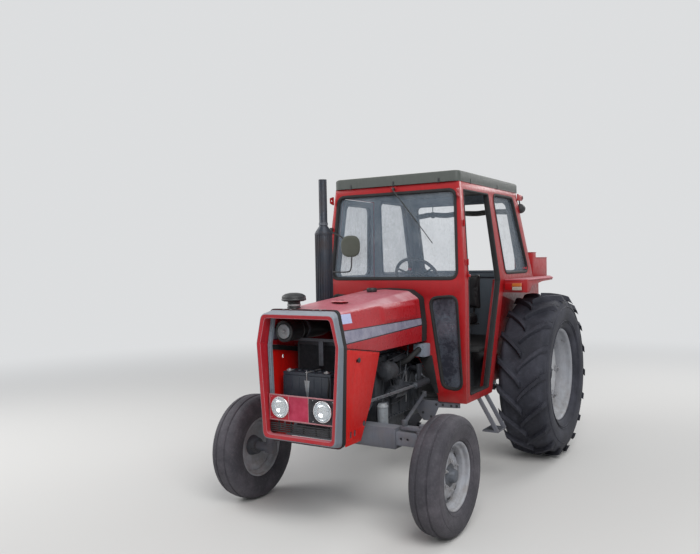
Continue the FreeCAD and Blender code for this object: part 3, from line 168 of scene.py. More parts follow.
fade.inputs["From Max"].default_value = 11.0
glow = floor_nodes.new("ShaderNodeEmission")
glow.inputs["Color"].default_value = backdrop
blend = floor_nodes.new("ShaderNodeMixShader")
floor_links.new(here.outputs["Object"], far.inputs[0])
floor_links.new(far.outputs["Value"], fade.inputs["Value"])
floor_links.new(fade.outputs[0], blend.inputs[0])
floor_links.new(floor_shader.outputs[0], blend.inputs[1])
floor_links.new(glow.outputs[0], blend.inputs[2])
floor_links.new(blend.outputs[0], floor_nodes["Material Output"].inputs["Surface"])
floor_mesh.materials.append(floor_paint)
print("studio ready")

# %% [markdown]
# ## Node graphs as Python
# A shader or a geometry tree is easier to read as an expression than as a web of links.
# One wrapper stands for an output socket and turns + - * into Math nodes. Any other node comes from one method
# that sets the node's own settings first and then its sockets, from numbers or from other wires.

# %% Wires and graphs
class Wire:
    """One output socket, so that maths on it reads as Python."""

    def __init__(self, graph, socket):
        self.graph = graph
        self.socket = socket

    def maths(self, operation, first, second=0.0):
        return self.graph.node("ShaderNodeMath", {0: first, 1: second}, operation=operation)

    def __add__(self, other):
        return self.maths("ADD", self, other)

    __radd__ = __add__

    def __mul__(self, other):
        return self.maths("MULTIPLY", self, other)

    __rmul__ = __mul__

    def __sub__(self, other):
        return self.maths("SUBTRACT", self, other)

    def __rsub__(self, other):
        return self.maths("SUBTRACT", other, self)

    def __abs__(self):
        return self.maths("ABSOLUTE", self)

    def spread(self, low, high):
        """0 at low and 1 at high, held there beyond them."""
        return self.graph.node("ShaderNodeMapRange", {0: self, 1: low, 2: high})


class Graph:
    def __init__(self, tree):
        self.tree = tree

    def node(self, kind, values=None, output=0, **settings):
        new = self.tree.nodes.new(kind)
        for setting, value in settings.items():
            setattr(new, setting, value)
        for key, value in (values or {}).items():
            if isinstance(value, Wire):
                self.tree.links.new(value.socket, new.inputs[key])
            else:
                new.inputs[key].default_value = value
        return Wire(self, new.outputs[output])


# %% [markdown]
# ## Finishes share their patterns
# Old paint, cast iron and rubber differ in colour, but all of them carry dust, grease, chips and dents.
# Each pattern is a method, so a finish is a few lines that say what it mixes. All patterns read the piece's own
# coordinates, so they stay on the metal when it moves.

# %% Paint, the material under construction
class Paint(Graph):
    def __init__(self, name, **sockets):
        self.material = bpy.data.materials.new(name)
        self.material.use_nodes = True
        super().__init__(self.material.node_tree)
        self.shader = self.tree.nodes["Principled BSDF"]
        self.set(**sockets)

    def set(self, **sockets):
        """Gives the shader's sockets a number or a wire. Base_Color stands for Base Color."""
        for name, value in sockets.items():
            socket = self.shader.inputs[name.replace("_", " ")]
            if isinstance(value, Wire):
                self.tree.links.new(value.socket, socket)
            elif hasattr(value, "__len__"):
                socket.default_value = (*value, 1.0)
            else:
                socket.default_value = value
        return self

    def mix(self, mask, first, second):
        """First colour where the mask is 0, second where it is 1."""
        colours = [value if isinstance(value, Wire) else (*value, 1.0) for value in (first, second)]
        return self.node("ShaderNodeMix", {0: mask, 6: colours[0], 7: colours[1]}, output=2, data_type="RGBA")

    def colour(self):
        """What the shader's colour is fed by now, for a further layer on top of it."""
        return Wire(self, self.shader.inputs["Base Color"].links[0].from_socket)

    def place(self):
        return self.node("ShaderNodeTexCoord", output="Object")

    def axis(self, name):
        return self.node("ShaderNodeSeparateXYZ", {0: self.place()}, output=name)

    def noise(self, scale, detail=5.0, stretch=None):
        vector = self.place()
        if stretch:
            vector = self.node("ShaderNodeVectorMath", {0: vector, 1: stretch}, operation="MULTIPLY")
        return self.node("ShaderNodeTexNoise", {"Vector": vector, "Scale": scale, "Detail": detail, "Roughness": 0.6})

    def cells(self, scale, **settings):
        return self.node("ShaderNodeTexVoronoi", {"Vector": self.place(), "Scale": scale}, **settings)

    def facing_up(self):
        """1 where the piece's own surface looks at the sky."""
        normal = self.node("ShaderNodeTexCoord", output="Normal")
        return self.node("ShaderNodeSeparateXYZ", {0: normal}, output="Z").spread(0.32, 0.95)

    def edges(self, radius):
        """1 along hard edges, where the rounded normal leaves the flat one."""
        soft = self.node("ShaderNodeBevel", {"Radius": radius}, samples=4)
        flat = self.node("ShaderNodeNewGeometry", output="Normal")
        match = self.node("ShaderNodeVectorMath", {0: soft, 1: flat}, output="Value", operation="DOT_PRODUCT")
        return (1 - match).spread(0.02, 0.16)

    def relief(self, height, distance, strength=1.0):
        bump = self.node("ShaderNodeBump", {"Height": height, "Distance": distance, "Strength": strength})
        return self.set(Normal=bump)


def old_paint(name, fresh, fade_and_sheen_colour, chip, gloss=0.35, fade=1.0, low_dirt=0.35):
    """Enamel with chipped edges, dust on top of it and road dirt low down; its tops are paler: sun fade and painted sky
    sheen.
    """
    paint = Paint(name, IOR=1.5, Specular_IOR_Level=0.32)
    patches = paint.noise(2.2).spread(0.35, 0.7)
    # Upward faces turn towards the paler colour: partly sun fade, partly a painted sheen of the sky on them.
    fade_and_sky_sheen = (paint.facing_up() * 0.8 + patches * 0.13) * fade
    colour = paint.mix(fade_and_sky_sheen.spread(0.0, 1.1), fresh, fade_and_sheen_colour)
    streaks = paint.noise(9.0, stretch=(6.0, 6.0, 0.7)).spread(0.5, 0.75)
    grime = tuple(0.35 * value + 0.012 for value in fresh)
    colour = paint.mix(streaks * 0.25, colour, grime)
    low = (1 - paint.axis("Z").spread(0.25, 1.15)) * paint.noise(14.0).spread(0.38, 0.68)
    colour = paint.mix(low * low_dirt, colour, (0.16, 0.125, 0.095))
    flecks = paint.noise(95.0, 3.0).spread(0.73, 0.77)
    chips = (paint.edges(0.004) * paint.noise(46.0).spread(0.5, 0.58) + flecks * 0.8).spread(0.35, 0.6)
    colour = paint.mix(chips, colour, chip)
    rough = paint.noise(30.0).spread(0.3, 0.7) * 0.22 + fade_and_sky_sheen * 0.14 + chips * 0.3 + gloss
    paint.set(Base_Color=colour, Roughness=rough, Coat_Weight=(1 - chips) * 0.12, Coat_Roughness=0.25)
    return paint.relief(paint.noise(6.0, 2.0) * 0.6 - chips * 0.35 + paint.noise(180.0, 2.0) * 0.08, 0.0016)


def worn_metal(name, bare, stain, metal=0.6, gloss=0.42, dirt=0.6, grain=70.0):
    """Bare or thinly painted metal under grease and dust."""
    paint = Paint(name)
    film = paint.noise(7.0).spread(0.4, 0.68)
    spots = paint.noise(grain, 6.0).spread(0.5, 0.72)
    worn = paint.edges(0.003) * paint.noise(28.0).spread(0.4, 0.6)
    colour = paint.mix((film * dirt + spots * 0.4).spread(0.0, 1.0), bare, stain)
    colour = paint.mix(worn * 0.6, colour, tuple(min(1.0, value * 1.6 + 0.05) for value in bare))
    paint.set(Base_Color=colour, Metallic=metal * (1 - film * 0.7), Roughness=film * 0.28 + spots * 0.12 + gloss)
    return paint.relief(spots * 0.5 + paint.noise(grain * 3.0, 2.0) * 0.35, 0.0012).material


def rubber(name, colour, dust, amount=0.6):
    """Black rubber with dust caught in it and fine cracks."""
    paint = Paint(name)
    cake = paint.noise(5.0).spread(0.42, 0.72) + paint.noise(60.0).spread(0.5, 0.75) * 0.5
    tone = paint.mix((cake * amount).spread(0.0, 1.2), colour, dust)
    cracks = paint.cells(140.0, feature="DISTANCE_TO_EDGE").spread(0.0, 0.06)
    paint.set(Base_Color=tone, Roughness=cake * 0.12 + 0.68, Specular_IOR_Level=0.35)
    return paint.relief(cracks * 0.25 + paint.noise(120.0, 3.0) * 0.5, 0.0008).material


def plastic(name, colour, gloss=0.5, grain=260.0):
    paint = Paint(name)
    dust = paint.noise(11.0).spread(0.45, 0.75)
    tone = paint.mix(dust * 0.35, colour, tuple(value * 0.6 + 0.075 for value in colour))
    paint.set(Base_Color=tone, Roughness=dust * 0.2 + gloss)
    return paint.relief(paint.noise(grain, 2.0), 0.0005).material


print("finish helpers ready")

# %% Paints of the red sheet metal, roof and rims
red_paint = old_paint("red_paint", (0.34, 0.004, 0.006), (0.44, 0.06, 0.09), (0.06, 0.035, 0.028)).material
cab_red = old_paint("cab_red", (0.31, 0.004, 0.006), (0.42, 0.09, 0.11), (0.07, 0.04, 0.035), gloss=0.28, fade=0.8).material
roof_paint = old_paint("roof_paint", (0.070, 0.078, 0.072), (0.095, 0.10, 0.085), (0.03, 0.03, 0.025), gloss=0.6).material
silver_rim = old_paint("silver_rim", (0.30, 0.31, 0.34), (0.40, 0.41, 0.43), (0.09, 0.05, 0.035), gloss=0.42,
                       low_dirt=0.5).material
pale_disc = old_paint("pale_disc", (0.46, 0.47, 0.49), (0.55, 0.56, 0.57), (0.13, 0.07, 0.045), low_dirt=0.35).material
grey_paint = old_paint("grey_paint", (0.110, 0.116, 0.140), (0.15, 0.16, 0.18), (0.05, 0.035, 0.03), gloss=0.5).material
duct_grey = old_paint("duct_grey", (0.20, 0.23, 0.28), (0.26, 0.29, 0.33), (0.06, 0.05, 0.05), gloss=0.5).material
inner_paint = old_paint("inner_paint", (0.13, 0.16, 0.19), (0.20, 0.23, 0.26), (0.05, 0.04, 0.035), gloss=0.5).material
console_paint = plastic("console_paint", (0.018, 0.019, 0.021), 0.55)
amber_lens = Paint("amber_lens", Base_Color=(0.46, 0.13, 0.025), Roughness=0.18, Coat_Weight=0.6)
amber_lens = amber_lens.relief(amber_lens.noise(220.0, 1.0), 0.0006).material
clear_lens = Paint("clear_lens", Base_Color=(0.36, 0.32, 0.27), Roughness=0.12, Coat_Weight=0.8)
clear_lens = clear_lens.relief(clear_lens.noise(200.0, 1.0), 0.0006).material
red_lens = Paint("red_lens", Base_Color=(0.42, 0.01, 0.012), Roughness=0.16, Coat_Weight=0.7)
red_lens = red_lens.relief(red_lens.noise(220.0, 1.0), 0.0006).material
# A paler pink for the decks' tops and lips: a painted reflection of the sky.
pink_deck = old_paint("pink_deck", (0.40, 0.05, 0.07), (0.46, 0.19, 0.21), (0.12, 0.06, 0.05), gloss=0.5).material
print("painted finishes", len(bpy.data.materials))

# %% Metals, rubbers and plastics
cast_iron = worn_metal("cast_iron", (0.040, 0.045, 0.055), (0.016, 0.014, 0.013), 0.35, 0.5)
grey_iron = worn_metal("grey_iron", (0.095, 0.105, 0.125), (0.035, 0.030, 0.026), 0.3, 0.52)
bare_steel = worn_metal("bare_steel", (0.40, 0.41, 0.43), (0.16, 0.11, 0.08), 0.9, 0.32, 0.35)
pale_tin = worn_metal("pale_tin", (0.30, 0.335, 0.37), (0.20, 0.17, 0.14), 0.5, 0.38, 0.4)
burnt_steel = worn_metal("burnt_steel", (0.020, 0.027, 0.040), (0.045, 0.026, 0.018), 0.4, 0.45, 0.45)
rusty_iron = worn_metal("rusty_iron", (0.13, 0.065, 0.040), (0.055, 0.028, 0.018), 0.2, 0.68, 0.7)
chrome = worn_metal("chrome", (0.72, 0.73, 0.75), (0.30, 0.27, 0.25), 1.0, 0.12, 0.2)
rear_rubber = rubber("rear_rubber", (0.017, 0.018, 0.026), (0.068, 0.070, 0.090), 0.75)
front_rubber = rubber("front_rubber", (0.040, 0.038, 0.046), (0.115, 0.105, 0.120), 0.9)
black_rubber = rubber("black_rubber", (0.010, 0.010, 0.011), (0.045, 0.045, 0.046), 0.4)
black_plastic = plastic("black_plastic", (0.014, 0.015, 0.017), 0.42)
battery_plastic = plastic("battery_plastic", (0.022, 0.028, 0.040), 0.45)
pale_knob = plastic("pale_knob", (0.30, 0.03, 0.025), 0.35)
print("metals and rubbers", len(bpy.data.materials))

# %% [markdown]
# ## Glass
# The panes are slightly blue and dusty. Glass that bends light would darken the cab, so a thin pane is a clear
# shader mixed with a dusty film: Alpha lets the inside show, and the dust makes it denser in patches.

# %% Glass
def pane_glass(name, tint, clear, dirt, splash=(0.34, 0.36, 0.37), drips=0.5):
    """Clear is the pane's own density, dirt is how much a dusty patch adds, splash is its colour."""
    paint = Paint(name, Roughness=0.06, Specular_IOR_Level=0.6)
    dust = paint.noise(4.5).spread(0.4, 0.75) * 0.6 + paint.noise(40.0).spread(0.45, 0.75) * 0.4
    runs = paint.noise(16.0, stretch=(5.0, 5.0, 0.5)).spread(0.5, 0.78)
    film = (dust + runs * drips).spread(0.0, 0.5 + drips * 1.6)
    tone = paint.mix(film, tint, splash)
    return paint.set(Base_Color=tone, Alpha=film * dirt + clear, Roughness=film * 0.5 + 0.05).material


window_glass = pane_glass("window_glass", (0.26, 0.34, 0.43), 0.13, 0.22)
dirty_glass = pane_glass("dirty_glass", (0.120, 0.135, 0.165), 0.74, 0.24, (0.008, 0.010, 0.020), 0.0)
print("glass ready")

# %% [markdown]
# ## Shapes from a few builders
# Most of a tractor is turned, lofted, bent from tube or cut from plate, so four small builders make nearly all of it.
# Each gives a plain mesh that already stands in the frame's own coordinates.

# %% Builders
def mesh_from(points, faces):
    mesh = bpy.data.meshes.new("shape")
    mesh.from_pydata([tuple(point) for point in points], [], faces)
    return mesh


def loft(rings, closed=True, caps=True, looped=False):
    """Skins rings of equally many points. closed joins each ring's ends, looped joins the last ring to the first."""
    count = len(rings[0])
    points = [point for ring in rings for point in ring]
    faces = []
    for row in range(len(rings) if looped else len(rings) - 1):
        low, high = row * count, (row + 1) % len(rings) * count
        for index in range(count if closed else count - 1):
            after = (index + 1) % count
            faces.append((low + index, low + after, high + after, high + index))
    if caps and not looped and closed:
        faces += [tuple(range(count)), tuple(range(len(points) - count, len(points)))]
    return mesh_from(points, faces)


def directions(axis):
    """Two directions across an axis; the first points down where it can."""
    along = Vector(axis).normalized()
    first = Vector((0, 0, -1)) if abs(along.z) < 0.7 else Vector((0, 1, 0))
    first = (first - along * first.dot(along)).normalized()
    return along, first, along.cross(first)


def lathe(profile, centre, axis=(1, 0, 0), steps=64):
    """(along, radius) points turned about the axis. A profile that ends on the axis closes itself."""
    along, first, second = directions(axis)
    rings = []
    for step in range(steps):
        angle = 2 * math.pi * step / steps
        arm = first * math.cos(angle) + second * math.sin(angle)
        rings.append([Vector(centre) + along * distance + arm * max(radius, 1e-6) for distance, radius in profile])
    return loft(rings, closed=False, looped=True)


def softened(profile, radius, steps=3):
    """A profile with its inner corners rounded, so that no turned edge is razor sharp."""
    result = [profile[0]]
    for before, corner, after in zip(profile, profile[1:], profile[2:]):
        here = Vector(corner)
        back, onward = Vector(before) - here, Vector(after) - here
        reach = min(radius, back.length * 0.45, onward.length * 0.45)
        start, finish = here + back.normalized() * reach, here + onward.normalized() * reach
        for step in range(steps + 1):
            share = step / steps
            point = start * (1 - share) ** 2 + here * 2 * share * (1 - share) + finish * share ** 2
            result.append(tuple(point))
    return result + [profile[-1]]


def rounded(corners, radius, steps=6):
    """A closed flat loop of points with an arc at every corner."""
    points = []
    for index, corner in enumerate(corners):
        here = Vector(corner)
        back = Vector(corners[index - 1]) - here
        onward = Vector(corners[(index + 1) % len(corners)]) - here
        half = back.angle(onward) / 2
        reach = min(radius / math.tan(half), back.length * 0.49, onward.length * 0.49)
        start, finish = here + back.normalized() * reach, here + onward.normalized() * reach
        for step in range(steps + 1):
            share = step / steps
            points.append(start * (1 - share) ** 2 + here * 2 * share * (1 - share) + finish * share ** 2)
    return points


def curve_mesh(loops, cyclic, kind="POLY", **settings):
    """Mesh of a curve object with those settings, for tubes and plates."""
    data = bpy.data.curves.new("path", "CURVE")
    for setting, value in settings.items():
        setattr(data, setting, value)
    for loop in loops:
        spline = data.splines.new(kind)
        spline.points.add(len(loop) - 1)
        for point, place in zip(spline.points, loop):
            point.co = (*place, 1.0) if len(place) == 3 else (*place, 0.0, 1.0)
        spline.use_cyclic_u = cyclic
        if kind == "NURBS":
            spline.order_u = 4 if len(loop) > 3 else 3
            spline.use_endpoint_u = not cyclic
            spline.resolution_u = 8
    holder = bpy.data.objects.new("path", data)
    scene.collection.objects.link(holder)
    mesh = bpy.data.meshes.new_from_object(holder.evaluated_get(bpy.context.evaluated_depsgraph_get()))
    bpy.data.objects.remove(holder)
    bpy.data.curves.remove(data)
    return mesh


def tube(points, radius, cyclic=False, smooth=True):
    """A round bar or pipe that follows points."""
    return curve_mesh([points], cyclic, "NURBS" if smooth else "POLY", dimensions="3D", bevel_depth=radius,
                      bevel_resolution=3, use_fill_caps=not cyclic)


def plate(outline, thickness, matrix, holes=(), bevel=0.001):
    """A flat plate from a 2D loop, with holes and slightly rounded edges, stood up by the matrix."""
    mesh = curve_mesh([outline, *holes], True, dimensions="2D", fill_mode="BOTH", extrude=thickness / 2 - bevel,
                      bevel_depth=bevel, bevel_resolution=2, offset=-bevel)
    mesh.transform(matrix)
    return mesh


def box_shape(low, high, bevel=0.003):
    """A box between two corners with rounded edges."""
    low, high = Vector(low), Vector(high)
    shape = bmesh.new()
    bmesh.ops.create_cube(shape, size=1.0)
    for vert in shape.verts:
        vert.co = Vector(((low[i] + high[i]) / 2 + vert.co[i] * abs(high[i] - low[i]) for i in range(3)))
    bmesh.ops.bevel(shape, geom=shape.edges[:], offset=bevel, segments=2, profile=0.7, affect="EDGES")
    mesh = bpy.data.meshes.new("shape")
    shape.to_mesh(mesh)
    shape.free()
    return mesh


def facing(centre, out, up=(0, 0, 1)):
    """Matrix whose local Z points out and whose local Y points up, at the centre."""
    z = Vector(out).normalized()
    x = Vector(up).cross(z).normalized()
    y = z.cross(x)
    return Matrix.Translation(Vector(centre)) @ Matrix((x, y, z)).transposed().to_4x4()


def flipped(mesh):
    """A copy of the mesh on the other side of the tractor."""
    copy = mesh.copy()
    copy.transform(Matrix.Scale(-1, 4, (1, 0, 0)))
    copy.flip_normals()
    return copy


print("builders ready")

# %% [markdown]
# ## One piece from several shapes
# A real piece often has several finishes, such as a lamp with a chrome ring and a clear lens. The shapes are
# gathered in one mesh, and each keeps its own material. Every piece is merged, faces out and rides on a body.

# %% Gathering shapes
class Piece:
    def __init__(self):
        self.shape = bmesh.new()
        self.finishes = []

    def add(self, finish, *meshes):
        if finish not in self.finishes:
            self.finishes.append(finish)
        for mesh in meshes:
            part = bmesh.new()
            part.from_mesh(mesh)
            bmesh.ops.remove_doubles(part, verts=part.verts, dist=2e-5)
            bmesh.ops.dissolve_degenerate(part, edges=part.edges, dist=1e-6)
            bmesh.ops.recalc_face_normals(part, faces=part.faces)
            for face in part.faces:
                face.material_index = self.finishes.index(finish)
                face.smooth = True
            clean = bpy.data.meshes.new("clean")
            part.to_mesh(clean)
            part.free()
            self.shape.from_mesh(clean)
            bpy.data.meshes.remove(clean)
            if mesh.users == 0:
                bpy.data.meshes.remove(mesh)
        return self

    def ride(self, name, body, slot, replaces=(), sharp_deg=38.0):
        mesh = bpy.data.meshes.new(name)
        self.shape.to_mesh(mesh)
        self.shape.free()
        for finish in self.finishes:
            mesh.materials.append(finish)
        mesh.set_sharp_from_angle(angle=math.radians(sharp_deg))
        piece = bpy.data.objects.new(name, mesh)
        scene.collection.objects.link(piece)
        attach(piece, body)
        if replaces:
            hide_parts(*replaces)
        print(name, "faces", len(mesh.polygons))
        return piece


def node_copy(node, bevel=0.002, segments=2):
    """A merged copy of a CAD node's mesh with its flat faces joined and its hard edges rounded."""
    shape = bmesh.new()
    shape.from_mesh(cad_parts[node].data)
    bmesh.ops.remove_doubles(shape, verts=shape.verts, dist=1e-5)
    bmesh.ops.dissolve_limit(shape, angle_limit=math.radians(1.0), verts=shape.verts, edges=shape.edges)
    mesh = bpy.data.meshes.new(node)
    shape.to_mesh(mesh)
    shape.free()
    if not bevel:
        return mesh
    holder = bpy.data.objects.new("holder", mesh)
    scene.collection.objects.link(holder)
    modifier = holder.modifiers.new("edge", "BEVEL")
    modifier.width = bevel
    modifier.segments = segments
    modifier.limit_method = "ANGLE"
    modifier.angle_limit = math.radians(30)
    result = bpy.data.meshes.new_from_object(holder.evaluated_get(bpy.context.evaluated_depsgraph_get()))
    bpy.data.objects.remove(holder)
    return result


def dress(node, body, slot, finish, bevel=0.002, *extras):
    """Replaces a CAD node by its rounded copy, with extra (finish, mesh) shapes on it."""
    piece = Piece().add(finish, node_copy(node, bevel))
    for extra_finish, mesh in extras:
        piece.add(extra_finish, mesh)
    return piece.ride(node + "_dressed", body, slot, (node,))


def refinish(piece, finish, chosen):
    """Gives another finish to the faces whose middle and normal pass the test."""
    mesh = piece.data
    if finish.name not in mesh.materials:
        mesh.materials.append(finish)
    index = mesh.materials.find(finish.name)
    for face in mesh.polygons:
        if chosen(face.center, face.normal):
            face.material_index = index


def nut(centre, out, across, height=None):
    """A hexagon head that stands on a surface."""
    tall = height or across * 0.45
    head = [(0.0, 0.0), (0.0, across * 0.56), (tall * 0.85, across * 0.56), (tall, across * 0.46), (tall, 0.0)]
    return lathe(head, centre, out, 6)


def nuts(places, out, across):
    return [nut(place, out, across) for place in places]


print("pieces ready")

# %% [markdown]
# ## Geometry Nodes for what repeats
# Nuts, tread bars, slats and fins repeat by a rule: so many round a circle, or so many in a row.
# Two small trees hold those rules. Their sizes are named inputs, so one tree serves every wheel and every row.

# %% Ring and row trees
def repeat_tree(name, sizes, build):
    """A tree that instances a Shape on the points that build makes, and gives it a Finish."""
    tree = bpy.data.node_groups.new(name, "GeometryNodeTree")
    tree.interface.new_socket("Geometry", in_out="OUTPUT", socket_type="NodeSocketGeometry")
    for socket, kind in sizes + [("Shape", "Object"), ("Finish", "Material")]:
        tree.interface.new_socket(socket, in_out="INPUT", socket_type="NodeSocket" + kind)
    graph = Graph(tree)
    entry = tree.nodes.new("NodeGroupInput")
    inputs = {socket.name: Wire(graph, socket) for socket in entry.outputs if socket.name}
    points, turn = build(graph, inputs)
    shape = graph.node("GeometryNodeObjectInfo", {"Object": inputs["Shape"]}, output="Geometry")
    values = {"Points": points, "Instance": shape}
    if turn:
        values["Rotation"] = turn
    copies = graph.node("GeometryNodeInstanceOnPoints", values)
    solid = graph.node("GeometryNodeRealizeInstances", {0: copies})
    finished = graph.node("GeometryNodeSetMaterial", {"Geometry": solid, "Material": inputs["Finish"]})
    exit_node = tree.nodes.new("NodeGroupOutput")
    tree.links.new(finished.socket, exit_node.inputs[0])
    return tree


def ring_points(graph, inputs):
    circle = graph.node("GeometryNodeMeshCircle", {"Vertices": inputs["Count"], "Radius": inputs["Radius"]})
    outward = graph.node("GeometryNodeInputPosition")
    return circle, graph.node("FunctionNodeAlignRotationToVector", {"Vector": outward}, axis="X", pivot_axis="Z")


def row_points(graph, inputs):
    return graph.node("GeometryNodeMeshLine", {"Count": inputs["Count"], "Offset": inputs["Step"]}), None


ring_tree = repeat_tree("ring", [("Count", "Int"), ("Radius", "Float")], ring_points)
row_tree = repeat_tree("row", [("Count", "Int"), ("Step", "Vector")], row_points)


def repeated(tree, shape, finish, matrix, **sizes):
    """Plain mesh of what the tree makes from the shape, stood in place by the matrix."""
    master = bpy.data.objects.new("master", shape)
    holder = bpy.data.objects.new("repeat", bpy.data.meshes.new("repeat"))
    scene.collection.objects.link(master)
    scene.collection.objects.link(holder)
    modifier = holder.modifiers.new("repeat", "NODES")
    modifier.node_group = tree
    identifiers = {item.name: item.identifier for item in tree.interface.items_tree if item.in_out == "INPUT"}
    for name, value in {**sizes, "Shape": master, "Finish": finish}.items():
        modifier[identifiers[name]] = value
    mesh = bpy.data.meshes.new_from_object(holder.evaluated_get(bpy.context.evaluated_depsgraph_get()))
    bpy.data.objects.remove(holder)
    bpy.data.objects.remove(master)
    mesh.transform(matrix)
    mesh.materials.clear()
    return mesh


def around(centre, axis):
    """Matrix for a ring about the axis at the centre; its first point is the lowest."""
    along, first, second = directions(axis)
    return Matrix.Translation(Vector(centre)) @ Matrix((first, second, along)).transposed().to_4x4()


print("trees ready:", ring_tree.name, row_tree.name)

# %% [markdown]
# ## Rear tyres
# A field tyre is a smooth turned carcass with long slanted bars that meet like a V along its middle. One bar is
# lofted through seven sections, and the ring tree sets it round the wheel twice, the second row half a pitch on.

# %% Rear tyre
rear_hub = at(0.780, 0, 0.7375)
rear_radius = 0.7375
rear_half_width = 0.215
carcass_radius = 0.6995
bar_count = 18
bar_sweep = math.radians(17)


def tread_bar(side):
    """One bar, drawn where the ring's lowest point is: X out of the wheel, Y round it, Z across it."""
    rings = []
    for step in range(9):
        share = step / 8
        across = side * (-0.012 + share * 0.226)
        swing = -bar_sweep * (share ** 0.82)
        crown = rear_radius - 0.026 * share ** 2.6 - 0.0005
        foot = carcass_radius - 0.004 - 0.085 * max(0.0, share - 0.55) ** 1.3
        top_half, foot_half = 0.017 + 0.004 * share, 0.028 + 0.003 * share
        if step == 8:
            crown, across = crown - 0.05, side * 0.2148
        ring = []
        for radius, half in ((foot, -foot_half), (crown - 0.004, -top_half - 0.002), (crown, -top_half + 0.003),
                             (crown, top_half - 0.003), (crown - 0.004, top_half + 0.002), (foot, foot_half)):
            angle = swing + half / radius
            ring.append(Vector((radius * math.cos(angle) - rear_radius, radius * math.sin(angle), across)))
        rings.append(ring)
    return loft(rings)


carcass_profile = softened([
    (-0.150, 0.4153), (-0.176, 0.424), (-0.190, 0.452), (-0.213, 0.535), (-0.2145, 0.580), (-0.196, 0.655),
    (-0.160, 0.694), (0, 0.6995), (0.160, 0.694), (0.196, 0.655), (0.2145, 0.580), (0.213, 0.535),
    (0.190, 0.452), (0.176, 0.424), (0.150, 0.4153)], 0.02, 4)
carcass_profile = carcass_profile + [(0.0, 0.4153)]


def rear_tyre(side):
    piece = Piece()
    centre = rear_hub
    shapes = [lathe(carcass_profile + carcass_profile[:1], centre, (1, 0, 0), 96)]
    for ridge, offset in ((0.470, 0.1985), (0.486, 0.2035), (0.610, 0.2085)):
        shapes.append(lathe([(offset - 0.004, ridge - 0.004), (offset + 0.0035, ridge), (offset - 0.004, ridge + 0.004),
                             (offset - 0.010, ridge), (offset - 0.004, ridge - 0.004)], centre, (1, 0, 0), 96))
    turn = 2 * math.pi / bar_count
    for row, across in ((0, 1), (1, -1)):
        place = around(centre, (1, 0, 0)) @ Matrix.Rotation(row * turn / 2, 4, "Z")
        shapes.append(repeated(ring_tree, tread_bar(across), rear_rubber, place, Count=bar_count, Radius=rear_radius))
    if side < 0:
        shapes = [flipped(shape) for shape in shapes]
    piece.add(rear_rubber, *shapes)
    word = "left" if side > 0 else "right"
    return piece.ride("rear_tread_" + word, "wheel_rear_" + word, "rear_rubber", ("rear_tyre_" + word,), 30)


for side in (1, -1):
    rear_tyre(side)

# %% [markdown]
# ## Rear rims
# The silver rim carries a paler pressed disc, dished towards the tractor, that bolts to the hub with eight nuts.
# Cast clamps join the disc to the rim. All of it is turned, and the nuts and clamps come from the ring tree.

# %% Nuts and rear rims
def hex_nut(radius, height):
    """A nut on its washer with its stud, standing along Z."""
    rings = []
    for z, size, sides_flat in ((0, 1.45, False), (height * 0.22, 1.45, False), (height * 0.22, 1.0, True),
                                (height * 0.9, 1.0, True), (height, 0.86, True), (height, 0.5, False),
                                (height * 1.5, 0.5, False)):
        ring = []
        for index in range(12):
            angle = math.pi * index / 6
            reach = size * radius * (1.0 if not sides_flat else 1 / max(abs(math.cos(angle % (math.pi / 3) - math.pi / 6)), 0.86) * 0.9)
            ring.append(Vector((reach * math.cos(angle), reach * math.sin(angle), z)))
        rings.append(ring)
    return loft(rings)


def rear_rim(side):
    centre = rear_hub
    rim_profile = softened([
        (-0.150, 0.4147), (-0.1545, 0.4147), (-0.1545, 0.405), (-0.140, 0.394), (-0.105, 0.392), (-0.080, 0.374),
        (0.012, 0.352), (0.060, 0.362), (0.105, 0.390), (0.140, 0.393), (0.1545, 0.404), (0.1545, 0.4147),
        (0.150, 0.4147)], 0.008, 3) + [(0.125, 0.408), (0.10, 0.404), (0.0, 0.372), (-0.10, 0.404)]
    disc_profile = softened([
        (0.004, 0.360), (0.016, 0.350), (0.020, 0.322), (-0.002, 0.278), (-0.010, 0.255), (-0.010, 0.150),
        (-0.004, 0.130), (-0.003, 0.0905), (-0.010, 0.0905), (-0.010, 0.115), (-0.017, 0.140), (-0.018, 0.255),
        (-0.010, 0.285), (0.010, 0.320), (0.004, 0.350)], 0.008, 3)
    silver = [lathe(rim_profile + rim_profile[:1], centre, (1, 0, 0), 96)]
    pale = [lathe(disc_profile + disc_profile[:1], centre, (1, 0, 0), 96)]
    outward = around(centre + Vector((-0.008, 0, 0)), (1, 0, 0))
    nuts = repeated(ring_tree, hex_nut(0.017, 0.024), bare_steel, outward, Count=8, Radius=0.204)
    clamp = box_shape((-0.030, -0.026, 0.004), (0.028, 0.026, 0.030), 0.006)
    clamps = repeated(ring_tree, clamp, silver_rim, around(centre, (1, 0, 0)), Count=8, Radius=0.332)
    clamp_nuts = repeated(ring_tree, hex_nut(0.013, 0.016), bare_steel, around(centre + Vector((0.030, 0, 0)), (1, 0, 0)),
                          Count=8, Radius=0.330)
    valve = [lathe([(0, 0), (0, 0.006), (0.045, 0.005), (0.046, 0)], centre + Vector((0.10, 0.26, 0.275)), (1, -0.3, -0.3), 12)]
    shapes = {silver_rim: silver + [clamps], pale_disc: pale, bare_steel: [nuts, clamp_nuts] + valve}
    piece = Piece()
    for finish, meshes in shapes.items():
        piece.add(finish, *[flipped(mesh) if side < 0 else mesh for mesh in meshes])
    word = "left" if side > 0 else "right"
    return piece.ride("rear_wheel_" + word, "wheel_rear_" + word, "silver_rim", ("rear_rim_" + word,))


for side in (1, -1):
    rear_rim(side)

# %% [markdown]
# ## Front wheels
# The steered wheels are narrow and ribbed: three round ribs with a groove on each side of the middle one.
# The ribs are worn round, so the tyre is one turned profile. Its rim is turned too, and the ring tree sets the nuts
# and the slots of the disc.

# %% Front tyres and rims
front_hub = at(0.8035, 2.253, 0.3935)
front_radius = 0.3935
front_half_width = 0.105

